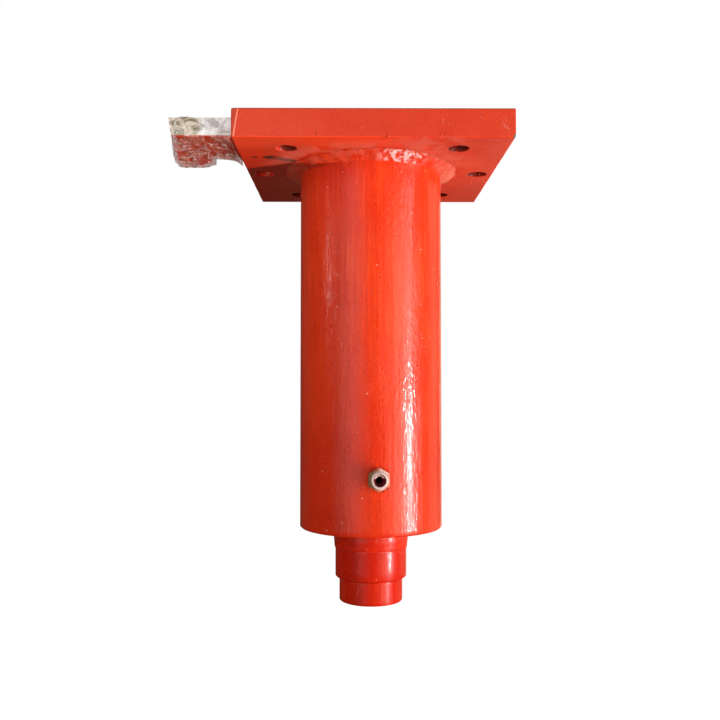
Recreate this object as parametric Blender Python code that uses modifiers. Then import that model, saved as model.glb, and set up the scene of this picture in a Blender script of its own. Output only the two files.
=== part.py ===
"""Telescopic hydraulic cylinder: two stages, double acting, hung from a square flange.

Units are metres and +Z is up. The origin is the centre of the flange's top face. The barrel hangs below the
flange, and the two stages slide out of it downwards, along -Z. Everything is drawn fully retracted.
"""

import math

import bmesh
import bpy

MM = 0.001

# Driving dimensions
GAP = 0.3 * MM  # clearance between pieces that touch or seal on each other
TURN_GAP = 0.5 * MM  # inside a ring that a grooved piston turns in
PAST = 5 * MM  # how far a cutter runs past the face it cuts
SIDES = 32  # of the turned pieces
ROD_SIDES = 24  # of the turned pieces inside the first stage, and of the ports
SCREW_SIDES = 16

FLANGE_SIDE = 280 * MM
FLANGE_THICKNESS = 29 * MM
FLANGE_EDGE = 1 * MM
BOLT_RADIUS = 10.5 * MM
CORNER_BOLT = (88.5 * MM, 100.5 * MM)
SIDE_BOLT_X = 122 * MM

BARREL_RADIUS = 80 * MM
BARREL_BORE = 65 * MM
BARREL_END = -430 * MM
BARREL_CHAMFER = 1.5 * MM
WELD_STEPS = [(21.5, 0), (17, 3.4), (8.5, 7), (0, 9.5)]  # out from the barrel, and down, in millimetres

TUBE_RADIUS = 40 * MM
TUBE_BORE = 30 * MM
TUBE_TOP = -34.6 * MM
TUBE_END = -485.4 * MM
EDGE_CHAMFER = 1 * MM

ROD_RADIUS = 22.5 * MM
ROD_SPIGOT = 15 * MM
HEAD_SPIGOT = 17.5 * MM
HEAD_RADIUS = 35.5 * MM
HEAD_END = -512 * MM
HEAD_FLOOR = -505.4 * MM
HEAD_SCREW_HEIGHT = -495.4 * MM
HEAD_SCREW_RADIUS = 3 * MM

# Heights down the barrel's gland and the first stage's piston
PISTON1_TOP = -30 * MM
PISTON1_END = -81.2 * MM
GLAND1_NOSE_TOP = -358.5 * MM
GLAND1_TOP = -382 * MM
GLAND1_END = -417 * MM
GLAND1_NOSE = 52 * MM
WIPER_SKIRT_END = -444.2 * MM
WIPER_LIP_END = -452.7 * MM
WIPER_FOOT = 45 * MM
WIPER_SKIRT = 41.8 * MM
LOCK_HEIGHT = -423.5 * MM
LOCK_SCREW_RADIUS = 4 * MM
PIN_RADIUS = 3 * MM
PIN_CIRCLE = 55 * MM
PISTON1_SCREW_HEIGHT = -74.5 * MM

# Heights down the first stage's gland and the second stage's piston
PISTON2_TOP = -48 * MM
PISTON2_END = -83.7 * MM
GLAND2_NOSE_TOP = -440.7 * MM
GLAND2_TOP = -452.4 * MM
GLAND2_END = -476.4 * MM
GLAND2_NOSE = 26.5 * MM
GLAND2_FLOOR = 27 * MM
NUT_TOP = -37 * MM
SNAP_RING = (-476.8 * MM, -479.8 * MM)
SNAP_GROOVE = 32 * MM
PASSAGE_Z = (-90 * MM, -448.4 * MM)  # of the two passages down the first stage's wall
PASSAGE_RADIUS = 2 * MM

# Rings, as (top, bottom), and the radius of a piston groove's floor
GLAND1_GUIDE_UPPER = (-363 * MM, -375 * MM)
GLAND1_SEAL = (-385 * MM, -395 * MM)
GLAND1_GUIDE_LOWER = (-400 * MM, -412 * MM)
GLAND1_O_RING_TOP = -397 * MM
GLAND1_BACK_UP = (-402 * MM, -405 * MM)
GLAND2_GUIDE = (-442.4 * MM, -450.4 * MM)
GLAND2_O_RING_TOP = -453.9 * MM
GLAND2_SEAL = (-459.4 * MM, -466.4 * MM)
GLAND2_WIPER = (-469.4 * MM, -476.4 * MM)
PISTON1_O_RING_TOP = -58 * MM
PISTON2_O_RING_TOP = -62 * MM
PISTON1_RINGS = {
    "guide_upper": ((-35 * MM, -43 * MM), 62 * MM),
    "seal": ((-46 * MM, -54 * MM), 58 * MM),
    "guide_lower": ((-57 * MM, -65 * MM), 62 * MM),
}
PISTON2_RINGS = {
    "guide_upper": ((-51 * MM, -57 * MM), 27.5 * MM),
    "seal": ((-60 * MM, -67 * MM), 25.3 * MM),
    "guide_lower": ((-70 * MM, -76 * MM), 27.5 * MM),
}

# Retract port, on the barrel's front
PORT_HEIGHT = -369.3 * MM
PORT_TURN = math.radians(4.6)  # from -Y towards +X
PORT_SEAT = 78.9 * MM  # the spot face's distance from the barrel's axis
PORT_TIP = 94 * MM
PORT_HEX = 22 * MM
PORT_STUB = 8.85 * MM  # radii of the adapter, from its tip inwards
PORT_MOUTH = 6.5 * MM
PORT_SHANK = 7 * MM
PORT_PASSAGE = 4 * MM
SPOT_FACE_RADIUS = 13.5 * MM

# Extend port's block, on the flange's left edge: an L in plan, with its port in the short leg
BLOCK_PLAN = [(-140.3, -113), (-140.3, -40), (-179, -40), (-179, -17), (-192, -4), (-200.5, -4),
              (-200.5, -113)]
BLOCK_Z = (-20 * MM, -3 * MM)
GALLERY_Y = -58 * MM
GALLERY_RADIUS = 5 * MM
GALLERY_END_X = -10 * MM
CROSS_X = -190 * MM  # of the passage from the port to the gallery
PORT_Y = -24 * MM
PLUG_RADIUS = 7.6 * MM
PLUG_HEAD = 14 * MM
PLUG_ACROSS = 16 * MM
BLOCK_WELD_LEG = 7 * MM
FILM_PLAN = [(-149, -115.5), (-149, -31), (-171, -36), (-175, -14), (-189, -1), (-214, -1), (-218, -5),
             (-218.5, -27), (-206.5, -115.5)]
FILM_Z = (-21.8 * MM, -1.6 * MM)
FILM_SKIN = 0.8 * MM

SEAL_RADIUS_1 = BARREL_BORE - GAP
SEAL_RADIUS_2 = TUBE_BORE - GAP


def new_material(name, colour, roughness, metallic=0.0, alpha=1.0):
    """A Principled BSDF with one colour."""
    material = bpy.data.materials.new(name)
    material.use_nodes = True
    shader = material.node_tree.nodes["Principled BSDF"]
    shader.inputs["Base Color"].default_value = (*colour, 1.0)
    shader.inputs["Roughness"].default_value = roughness
    shader.inputs["Metallic"].default_value = metallic
    shader.inputs["Alpha"].default_value = alpha
    material.diffuse_color = (*colour, alpha)
    return material


def clear_scene():
    for thing in list(bpy.data.objects):
        bpy.data.objects.remove(thing)


def new_collection(name):
    collection = bpy.data.collections.new(name)
    bpy.context.scene.collection.children.link(collection)
    return collection


def add_object(name, mesh, collection, material=None, parent=None):
    thing = bpy.data.objects.new(name, mesh)
    collection.objects.link(thing)
    if material:
        mesh.materials.append(material)
    thing.parent = parent
    return thing


def smooth(mesh):
    mesh.shade_smooth()
    mesh.set_sharp_from_angle(angle=math.radians(30))


def side(radius, top, bottom, grooves=()):
    """Points down one side of a turned piece, with grooves given as (top, bottom, radius of the floor)."""
    points = [(radius, top)]
    for groove_top, groove_bottom, floor in grooves:
        points += [(radius, groove_top), (floor, groove_top), (floor, groove_bottom), (radius, groove_bottom)]
    points.append((radius, bottom))
    return points


def turned(name, outline, material, parent=None, sides=SIDES, collection=None):
    """A solid turned about Z. The outline is (radius, height) points that run down the outer side."""
    on_axis = outline[0][0] == 0
    mesh = bpy.data.meshes.new(name)
    edges = [(i, i + 1) for i in range(len(outline) - 1)]
    if not on_axis:
        edges.append((len(outline) - 1, 0))
    mesh.from_pydata([(radius, 0, height) for radius, height in outline], edges, [])
    thing = add_object(name, mesh, collection or PARTS, material, parent)
    screw = thing.modifiers.new("turn", "SCREW")
    screw.steps = sides
    screw.render_steps = sides
    screw.use_merge_vertices = True
    screw.merge_threshold = 0.01 * MM
    screw.use_smooth_shade = True
    return thing


def ring(name, inner, outer, top, bottom, material, parent=None, sides=SIDES):
    outline = side(outer, top, bottom) + side(inner, top, bottom)[::-1]
    return turned(name, outline, material, parent, sides)


def o_ring(name, inner, outer, top, material, parent=None, sides=SIDES):
    """A round cord ring that fills the space between two radii."""
    section = (outer - inner) / 2
    points = 6
    outline = []
    for i in range(points):
        angle = math.pi / 2 - 2 * math.pi * (i + 0.5) / points
        outline.append((inner + section * (1 + math.cos(angle)), top - section * (1 - math.sin(angle))))
    return turned(name, outline, material, parent, sides)


def prism(name, radius, length, sides, material=None, parent=None, collection=None):
    """A closed cylinder or prism from z = 0 up to its length, with a corner at +Y."""
    mesh = bpy.data.meshes.new(name)
    work = bmesh.new()
    bmesh.ops.create_cone(work, cap_ends=True, segments=sides, radius1=radius, radius2=radius, depth=length)
    bmesh.ops.translate(work, verts=work.verts, vec=(0, 0, length / 2))
    work.to_mesh(mesh)
    work.free()
    smooth(mesh)
    return add_object(name, mesh, collection or PARTS, material, parent)


def block(name, x, y, z, material=None, collection=None):
    """A box between its low and high corners, with its origin at its centre."""
    mesh = bpy.data.meshes.new(name)
    work = bmesh.new()
    bmesh.ops.create_cube(work, size=1)
    bmesh.ops.scale(work, verts=work.verts, vec=(x[1] - x[0], y[1] - y[0], z[1] - z[0]))
    work.to_mesh(mesh)
    work.free()
    thing = add_object(name, mesh, collection or PARTS, material)
    thing.location = ((x[0] + x[1]) / 2, (y[0] + y[1]) / 2, (z[0] + z[1]) / 2)
    return thing


def combine(thing, tool, operation="DIFFERENCE"):
    """Cuts a tool from a piece, or joins it on. The tool isn't a piece of the cylinder."""
    tool.hide_render = True
    tool.display_type = "WIRE"
    boolean = thing.modifiers.new(tool.name, "BOOLEAN")
    boolean.operation = operation
    boolean.solver = "EXACT"
    boolean.object = tool


def drill(thing, name, radius, start, along, length, sides=24):
    """A round hole that starts at a point and runs along a direction."""
    tool = prism(name, radius, length, sides, collection=CUTTERS)
    place(tool, start, along)
    combine(thing, tool)


def place(thing, start, along):
    """Puts a prism's base at a point and points its length along X, Y, -Y or -Z."""
    turns = {
        "X": (0, math.pi / 2, 0),
        "-Y": (math.pi / 2, 0, 0),
        "-Z": (math.pi, 0, 0),
    }
    thing.location = start
    thing.rotation_euler = turns[along]


def bevel(thing, width):
    edges = thing.modifiers.new("edges", "BEVEL")
    edges.width = width
    edges.segments = 1


def set_screw(name, radius, length, start, along, material, parent=None):
    """A headless screw with a hexagon socket in its outer end, which is where it starts."""
    screw = prism(name, radius, length, SCREW_SIDES, material, parent)
    place(screw, start, along)
    socket = prism(name + "_socket", 0.58 * radius, 0.4 * length, 6, collection=CUTTERS)
    socket.location.z = -GAP
    socket.parent = screw
    combine(screw, socket)
    return screw


def flange():
    half = FLANGE_SIDE / 2
    plate = block("flange_plate", (-half, half), (-half, half), (-FLANGE_THICKNESS, 0), RED)
    bevel(plate, FLANGE_EDGE)
    bolts = [(sx * CORNER_BOLT[0], sy * CORNER_BOLT[1]) for sx in (-1, 1) for sy in (-1, 1)]
    bolts += [(-SIDE_BOLT_X, 0), (SIDE_BOLT_X, 0)]
    for i, (x, y) in enumerate(bolts):
        drill(plate, f"bolt_hole_{i}", BOLT_RADIUS, (x, y, PAST), "-Z", FLANGE_THICKNESS + 2 * PAST)
    drill_gallery(plate, "plate_gallery", -half - PAST, GALLERY_END_X)
    start = (GALLERY_END_X - GALLERY_RADIUS, GALLERY_Y, gallery_height())
    drill(plate, "gallery_drop", 0.9 * GALLERY_RADIUS, start, "-Z", FLANGE_THICKNESS, 16)


def gallery_height():
    """The height of the oil gallery, from the extend port to the middle of the flange."""
    return (BLOCK_Z[0] + BLOCK_Z[1]) / 2


def drill_gallery(thing, name, start_x, end_x):
    start = (start_x, GALLERY_Y, gallery_height())
    drill(thing, name, GALLERY_RADIUS, start, "X", end_x - start_x, 16)


def barrel():
    outline = side(BARREL_RADIUS, -FLANGE_THICKNESS - GAP, BARREL_END + BARREL_CHAMFER)
    outline += [(BARREL_RADIUS - BARREL_CHAMFER, BARREL_END), (BARREL_BORE, BARREL_END)]
    outline.append((BARREL_BORE, -FLANGE_THICKNESS - GAP))
    tube = turned("barrel_tube", outline, RED)
    hole = prism("port_hole", PORT_SHANK + GAP, 30 * MM, 24, collection=CUTTERS)
    on_port_axis(hole, 60 * MM)
    combine(tube, hole)
    seat = prism("port_spot_face", SPOT_FACE_RADIUS, 10 * MM, 24, collection=CUTTERS)
    on_port_axis(seat, PORT_SEAT)
    combine(tube, seat)
    y = BARREL_RADIUS + PAST
    drill(tube, "lock_hole", LOCK_SCREW_RADIUS + GAP, (0, y, LOCK_HEIGHT), "-Y", 25 * MM, SCREW_SIDES)


def barrel_weld():
    """The fillet weld between the barrel and the flange, wider on the flange."""
    top = -FLANGE_THICKNESS - GAP
    inner = BARREL_RADIUS + GAP
    outline = [(inner, top)]
    outline += [(inner + out * MM, top - down * MM) for out, down in WELD_STEPS]
    turned("barrel_weld", outline, WELD)


def on_port_axis(thing, distance):
    """Puts a piece's local Z on the port's axis, at a distance from the barrel's axis."""
    x, y = math.sin(PORT_TURN), -math.cos(PORT_TURN)
    thing.location = (distance * x, distance * y, PORT_HEIGHT)
    thing.rotation_euler = (math.pi / 2, 0, PORT_TURN)


def retract_port():
    """The adapter screwed into the barrel, with its bonded washer. Distances are from the barrel's axis."""
    washer_end = PORT_SEAT + GAP + 1.5 * MM
    hex_start = washer_end + GAP
    hex_end = hex_start + 7 * MM
    shank_start = BARREL_BORE + GAP
    washer = ring("retract_port_washer", PORT_SHANK + GAP, PORT_HEX / 2, washer_end, PORT_SEAT + GAP, SEAL,
                  sides=ROD_SIDES)
    on_port_axis(washer, 0)
    outline = [
        (0, PORT_TIP),
        (PORT_STUB - EDGE_CHAMFER, PORT_TIP),
        (PORT_STUB, PORT_TIP - EDGE_CHAMFER),
        (PORT_STUB, hex_end - 1 * MM),
        (10 * MM, hex_end - 1 * MM),
        (10 * MM, hex_start),
        (PORT_SHANK, hex_start),
        (PORT_SHANK, shank_start),
        (0, shank_start),
    ]
    adapter = turned("retract_port_adapter", outline, ZINC, sides=ROD_SIDES)
    on_port_axis(adapter, 0)
    nut = prism("adapter_hex", PORT_HEX / math.sqrt(3), hex_end - hex_start, 6, collection=CUTTERS)
    on_port_axis(nut, hex_start)
    combine(adapter, nut, "UNION")
    bore = turned("adapter_bore", adapter_bore(shank_start), None, sides=ROD_SIDES, collection=CUTTERS)
    on_port_axis(bore, 0)
    combine(adapter, bore)


def adapter_bore(shank_start):
    """A wide mouth, then a narrow passage into the barrel."""
    shoulder = PORT_TIP - 11 * MM
    return [
        (0, PORT_TIP + PAST),
        (PORT_MOUTH, PORT_TIP + PAST),
        (PORT_MOUTH, shoulder),
        (PORT_PASSAGE, shoulder - 2 * MM),
        (PORT_PASSAGE, shank_start - PAST),
        (0, shank_start - PAST),
    ]


def slab(name, plan, heights, material):
    """A flat piece with an outline in plan, in millimetres, between two heights."""
    work = bmesh.new()
    bottom, top = heights
    face = work.faces.new([work.verts.new((x * MM, y * MM, bottom)) for x, y in plan])
    grown = bmesh.ops.extrude_face_region(work, geom=[face])
    moved = [item for item in grown["geom"] if isinstance(item, bmesh.types.BMVert)]
    bmesh.ops.translate(work, verts=moved, vec=(0, 0, top - bottom))
    bmesh.ops.recalc_face_normals(work, faces=work.faces)
    mesh = bpy.data.meshes.new(name)
    work.to_mesh(mesh)
    work.free()
    return add_object(name, mesh, PARTS, material)


def extend_port():
    """The block on the flange's edge, with its weld, its closing plug and the film wrapped round it."""
    z = gallery_height()
    face = min(x for x, y in BLOCK_PLAN) * MM
    body = slab("extend_port_block", BLOCK_PLAN, BLOCK_Z, RED)
    bevel(body, FLANGE_EDGE)
    drill_gallery(body, "block_gallery", CROSS_X, BLOCK_PLAN[0][0] * MM + PAST)
    drill(body, "cross_gallery", 0.9 * GALLERY_RADIUS, (CROSS_X, PORT_Y, z), "-Y", PORT_Y - GALLERY_Y, 16)
    drill(body, "plug_hole", PLUG_RADIUS + 0.4 * MM, (face - PAST, PORT_Y, z), "X", 16 * MM + PAST)
    extend_port_plug(face - GAP, z)
    block_weld()
    film = slab("protective_film", FILM_PLAN, FILM_Z, FILM)
    open_end(film.data)
    skin = film.modifiers.new("skin", "SOLIDIFY")
    skin.thickness = FILM_SKIN
    skin.offset = -1
    skin.use_even_offset = True


def extend_port_plug(face, z):
    """A plug with a hexagon head, screwed into the port from the block's left face."""
    shank = 12 * MM
    start = (face - PLUG_HEAD, PORT_Y, z)
    plug = prism("extend_port_plug", PLUG_RADIUS, PLUG_HEAD + shank, 24, STEEL)
    place(plug, start, "X")
    head = prism("plug_head", PLUG_ACROSS / math.sqrt(3), PLUG_HEAD, 6, collection=CUTTERS)
    place(head, start, "X")
    combine(plug, head, "UNION")


def open_end(mesh):
    """Takes away the face that looks along +X at the outline's right end."""
    work = bmesh.new()
    work.from_mesh(mesh)
    right = max(vert.co.x for vert in work.verts)
    ends = [face for face in work.faces if face.normal.x > 0.99 and face.calc_center_median().x > right - GAP]
    bmesh.ops.delete(work, geom=ends, context="FACES")
    work.to_mesh(mesh)
    work.free()


def block_weld():
    """A corner bead under the block, against the flange's edge."""
    (corner_x, y0), (_, y1) = BLOCK_PLAN[:2]
    corner_x, y0, y1 = corner_x * MM, y0 * MM + FLANGE_EDGE, y1 * MM - FLANGE_EDGE
    corner_z = BLOCK_Z[0] - GAP
    leg = BLOCK_WELD_LEG
    section = [(corner_x, corner_z), (corner_x, corner_z - leg), (corner_x - leg, corner_z)]
    work = bmesh.new()
    face = work.faces.new([work.verts.new((x, y0, z)) for x, z in section])
    grown = bmesh.ops.extrude_face_region(work, geom=[face])
    moved = [item for item in grown["geom"] if isinstance(item, bmesh.types.BMVert)]
    bmesh.ops.translate(work, verts=moved, vec=(0, y1 - y0, 0))
    bmesh.ops.recalc_face_normals(work, faces=work.faces)
    mesh = bpy.data.meshes.new("extend_port_weld")
    work.to_mesh(mesh)
    work.free()
    add_object("extend_port_weld", mesh, PARTS, WELD)


def groove(place_of_ring, floor):
    """The groove round a ring, with a gap above and below it."""
    top, bottom = place_of_ring
    return top + GAP, bottom - GAP, floor


def barrel_gland():
    """The bush that closes the barrel round the first stage, its lock ring, and the rings it holds."""
    bore = TUBE_RADIUS + GAP
    outer = SEAL_RADIUS_1
    static_groove = (GLAND1_O_RING_TOP + GAP, GLAND1_BACK_UP[1] - GAP, 59.7 * MM)
    outline = [(GLAND1_NOSE, GLAND1_NOSE_TOP), (GLAND1_NOSE, GLAND1_TOP)]
    outline += side(outer, GLAND1_TOP, GLAND1_END, [static_groove])
    inner_grooves = [
        groove(GLAND1_GUIDE_UPPER, bore + 2.6 * MM),
        groove(GLAND1_SEAL, bore + 6 * MM),
        groove(GLAND1_GUIDE_LOWER, bore + 2.6 * MM),
    ]
    outline += side(bore, GLAND1_NOSE_TOP, GLAND1_END, inner_grooves)[::-1]
    turned("barrel_gland", outline, STEEL)

    ring("barrel_gland_guide_upper", bore, bore + 2.3 * MM, *GLAND1_GUIDE_UPPER, BRONZE)
    ring("barrel_gland_rod_seal", bore, bore + 5.7 * MM, *GLAND1_SEAL, SEAL)
    ring("barrel_gland_guide_lower", bore, bore + 2.3 * MM, *GLAND1_GUIDE_LOWER, BRONZE)
    o_ring("barrel_gland_o_ring", 60 * MM, 64.4 * MM, GLAND1_O_RING_TOP, SEAL)
    ring("barrel_gland_back_up_ring", 60 * MM, 64.7 * MM, *GLAND1_BACK_UP, PTFE)

    lock = ring("barrel_gland_lock_ring", WIPER_FOOT + GAP, outer, GLAND1_END - GAP, BARREL_END + GAP, STEEL)
    pin_holes = 4
    for i in range(pin_holes):
        angle = math.pi / 4 + 2 * math.pi * i / pin_holes
        start = (PIN_CIRCLE * math.cos(angle), PIN_CIRCLE * math.sin(angle), BARREL_END + 7 * MM)
        drill(lock, f"pin_hole_{i}", PIN_RADIUS, start, "-Z", 7 * MM + PAST, 12)
    start = (0, BARREL_RADIUS - 2 * MM, LOCK_HEIGHT)
    set_screw("barrel_gland_lock_screw", LOCK_SCREW_RADIUS, 12.5 * MM, start, "-Y", BLACK_STEEL)

    outline = [
        (WIPER_FOOT, GLAND1_END - GAP),
        (WIPER_FOOT, BARREL_END + GAP),
        (WIPER_SKIRT, BARREL_END + GAP),
        (WIPER_SKIRT, WIPER_SKIRT_END),
        (bore + 0.4 * MM, WIPER_LIP_END),
        (bore, WIPER_LIP_END),
        (bore, GLAND1_END - GAP),
    ]
    turned("barrel_wiper", outline, RED)


def stage1_piston(axis):
    """The ring piston on the first stage's top. Oil reaches the second stage through its middle."""
    outer = SEAL_RADIUS_1 - GAP
    opening = 33 * MM
    bore = TUBE_RADIUS + GAP
    shoulder = TUBE_TOP + GAP
    grooves = [groove(*entry) for entry in PISTON1_RINGS.values()]
    outline = side(outer, PISTON1_TOP, PISTON1_END, grooves)
    o_ring_place = (PISTON1_O_RING_TOP, PISTON1_O_RING_TOP - 3 * MM)
    outline += side(bore, shoulder, PISTON1_END, [groove(o_ring_place, 43.6 * MM)])[::-1]
    outline += [(opening, shoulder), (opening, PISTON1_TOP)]
    piston = turned("stage1_piston", outline, STEEL, axis)
    start = (0, BARREL_BORE, PISTON1_SCREW_HEIGHT)
    drill(piston, "piston_screw_hole", LOCK_SCREW_RADIUS + GAP, start, "-Y", 26 * MM, SCREW_SIDES)
    start = (0, outer - 2 * MM, PISTON1_SCREW_HEIGHT)
    set_screw("stage1_piston_lock_screw", LOCK_SCREW_RADIUS, 20 * MM, start, "-Y", BLACK_STEEL, axis)
    o_ring("stage1_piston_o_ring", bore, bore + 3 * MM, PISTON1_O_RING_TOP, SEAL, axis)


def piston_rings(stage, rings, outer, sides, axis):
    """The rings that seal and guide a piston. They slide with it, and it turns inside them."""
    for name, (place_of_ring, floor) in rings.items():
        material = SEAL if name == "seal" else BRONZE
        ring(f"{stage}_piston_{name}", floor + TURN_GAP, outer, *place_of_ring, material, axis, sides)


def stage1_tube(axis):
    """The first stage. Two passages drilled down its wall take oil to the space above its own gland."""
    outline = side(TUBE_RADIUS, TUBE_TOP, TUBE_END + EDGE_CHAMFER)
    outline.append((TUBE_RADIUS - EDGE_CHAMFER, TUBE_END))
    outline += side(TUBE_BORE, TUBE_TOP, TUBE_END, [groove(SNAP_RING, SNAP_GROOVE)])[::-1]
    tube = turned("stage1_tube", outline, RED, axis)
    wall_middle = (TUBE_RADIUS + TUBE_BORE) / 2
    top, bottom = PASSAGE_Z
    passage = PASSAGE_RADIUS
    for end in (-1, 1):
        x = end * wall_middle
        drill(tube, f"passage_{end}", passage, (x, 0, top), "-Z", top - bottom, 12)
        outside = min(x, end * (TUBE_RADIUS + 2 * MM))
        drill(tube, f"passage_in_{end}", passage, (outside, 0, top - 2.5 * MM), "X", 7 * MM, 12)
        inside = min(x, end * (TUBE_BORE - 2 * MM))
        drill(tube, f"passage_out_{end}", passage, (inside, 0, bottom + 2.5 * MM), "X", 7 * MM, 12)


def stage1_gland(axis):
    """The bush in the first stage's end, with the rings that the second stage's rod slides in."""
    bore = ROD_RADIUS + GAP
    outline = [(GLAND2_NOSE, GLAND2_NOSE_TOP), (GLAND2_NOSE, GLAND2_TOP)]
    o_ring_place = (GLAND2_O_RING_TOP, GLAND2_O_RING_TOP - 2.2 * MM)
    outline += side(SEAL_RADIUS_2, GLAND2_TOP, GLAND2_END, [groove(o_ring_place, 27.2 * MM)])
    outline += [(GLAND2_FLOOR, GLAND2_END), (GLAND2_FLOOR, GLAND2_WIPER[0] + GAP)]
    grooves = [groove(GLAND2_GUIDE, bore + 2 * MM), groove(GLAND2_SEAL, GLAND2_FLOOR)]
    outline += side(bore, GLAND2_NOSE_TOP, GLAND2_WIPER[0] + GAP, grooves)[::-1]
    turned("stage1_gland", outline, STEEL, axis, ROD_SIDES)

    ring("stage1_gland_guide", bore, bore + 1.7 * MM, *GLAND2_GUIDE, BRONZE, axis, ROD_SIDES)
    ring("stage1_gland_rod_seal", bore, GLAND2_FLOOR - GAP, *GLAND2_SEAL, SEAL, axis, ROD_SIDES)
    ring("stage1_gland_wiper", bore, GLAND2_FLOOR - GAP, *GLAND2_WIPER, SEAL, axis, ROD_SIDES)
    o_ring("stage1_gland_o_ring", 27.5 * MM, SEAL_RADIUS_2, GLAND2_O_RING_TOP, SEAL, axis, ROD_SIDES)

    snap = ring("stage1_gland_snap_ring", 25 * MM, SNAP_GROOVE - GAP, *SNAP_RING, BLACK_STEEL, axis)
    split = block("snap_ring_split", (-4 * MM, 4 * MM), (20 * MM, 40 * MM),
                  (SNAP_RING[1] - PAST, SNAP_RING[0] + PAST), collection=CUTTERS)
    combine(snap, split)


def stage2_rod(axis):
    """The second stage, with a spigot at each end: for the piston and its nut, and for the head."""
    chamfer = 1.5 * MM
    outline = [
        (0, TUBE_TOP),
        (ROD_SPIGOT - chamfer, TUBE_TOP),
        (ROD_SPIGOT, TUBE_TOP - chamfer),
        (ROD_SPIGOT, PISTON2_END - GAP),
        (ROD_RADIUS, PISTON2_END - GAP),
        (ROD_RADIUS, TUBE_END),
        (HEAD_SPIGOT, TUBE_END),
        (HEAD_SPIGOT, HEAD_FLOOR + GAP + chamfer),
        (HEAD_SPIGOT - chamfer, HEAD_FLOOR + GAP),
        (0, HEAD_FLOOR + GAP),
    ]
    turned("stage2_rod", outline, CHROME, axis, ROD_SIDES)


def stage2_piston(axis):
    outer = SEAL_RADIUS_2 - GAP
    bore = ROD_SPIGOT + GAP
    grooves = [groove(*entry) for entry in PISTON2_RINGS.values()]
    outline = side(outer, PISTON2_TOP, PISTON2_END, grooves)
    o_ring_place = (PISTON2_O_RING_TOP, PISTON2_O_RING_TOP - 2 * MM)
    outline += side(bore, PISTON2_TOP, PISTON2_END, [groove(o_ring_place, 17.6 * MM)])[::-1]
    turned("stage2_piston", outline, STEEL, axis, ROD_SIDES)
    o_ring("stage2_piston_o_ring", bore, bore + 2 * MM, PISTON2_O_RING_TOP, SEAL, axis, ROD_SIDES)

    nut_height = NUT_TOP - PISTON2_TOP - GAP
    nut = prism("stage2_piston_nut", 46 * MM / math.sqrt(3), nut_height, 6, STEEL, axis)
    nut.location.z = PISTON2_TOP + GAP
    drill(nut, "nut_bore", bore, (0, 0, NUT_TOP + PAST), "-Z", nut_height + 2 * PAST)


def stage2_head(axis):
    """The cap on the rod's end, held by a screw from behind."""
    top = TUBE_END - GAP
    bore = HEAD_SPIGOT + GAP
    inside = [(0, HEAD_FLOOR), (bore, HEAD_FLOOR), (bore, top)]
    outside = [
        (HEAD_RADIUS - EDGE_CHAMFER, top),
        (HEAD_RADIUS, top - EDGE_CHAMFER),
        (HEAD_RADIUS, HEAD_END + EDGE_CHAMFER),
        (HEAD_RADIUS - EDGE_CHAMFER, HEAD_END),
        (0, HEAD_END),
    ]
    head = turned("stage2_head", inside + outside, RED, axis)
    start = (0, HEAD_RADIUS + PAST, HEAD_SCREW_HEIGHT)
    drill(head, "head_screw_hole", HEAD_SCREW_RADIUS + GAP, start, "-Y", 23 * MM, SCREW_SIDES)
    start = (0, HEAD_RADIUS - 1.5 * MM, HEAD_SCREW_HEIGHT)
    set_screw("stage2_head_lock_screw", HEAD_SCREW_RADIUS, 15 * MM, start, "-Y", BLACK_STEEL, axis)


def axis_empty(name):
    """An empty on the cylinder's axis, which carries the pieces of one moving body."""
    empty = bpy.data.objects.new(name, None)
    empty.empty_display_type = "SINGLE_ARROW"
    PARTS.objects.link(empty)
    return empty


clear_scene()
PARTS = new_collection("telescopic_hydraulic_cylinder")
CUTTERS = new_collection("cutters")

RED = new_material("red_enamel", (0.66, 0.045, 0.02), 0.25)
WELD = new_material("painted_weld", (0.62, 0.05, 0.03), 0.3)
ZINC = new_material("zinc_plate", (0.78, 0.74, 0.66), 0.35, 0.8)
STEEL = new_material("turned_steel", (0.5, 0.5, 0.52), 0.3, 1.0)
CHROME = new_material("hard_chrome", (0.8, 0.8, 0.82), 0.08, 1.0)
BLACK_STEEL = new_material("blackened_steel", (0.05, 0.05, 0.055), 0.45, 0.9)
BRONZE = new_material("guide_ring_bronze", (0.3, 0.2, 0.1), 0.5)
PTFE = new_material("back_up_ptfe", (0.8, 0.8, 0.78), 0.5)
SEAL = new_material("nitrile_rubber", (0.02, 0.02, 0.02), 0.6)
FILM = new_material("stretch_film", (0.85, 0.83, 0.82), 0.2, alpha=0.4)

flange()
barrel()
barrel_weld()
retract_port()
extend_port()
barrel_gland()

stage1_slide = axis_empty("stage1_slide_axis")
piston_rings("stage1", PISTON1_RINGS, SEAL_RADIUS_1, SIDES, stage1_slide)
stage1_turn = axis_empty("stage1_turn_axis")
stage1_turn.parent = stage1_slide
stage1_tube(stage1_turn)
stage1_piston(stage1_turn)
stage1_gland(stage1_turn)

stage2_slide = axis_empty("stage2_slide_axis")
stage2_slide.parent = stage1_turn
piston_rings("stage2", PISTON2_RINGS, SEAL_RADIUS_2, ROD_SIDES, stage2_slide)
stage2_turn = axis_empty("stage2_turn_axis")
stage2_turn.parent = stage2_slide
stage2_rod(stage2_turn)
stage2_piston(stage2_turn)
stage2_head(stage2_turn)
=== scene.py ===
import functools
import math
import random

import bmesh
import bpy
from mathutils import Matrix, Vector, noise


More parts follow.
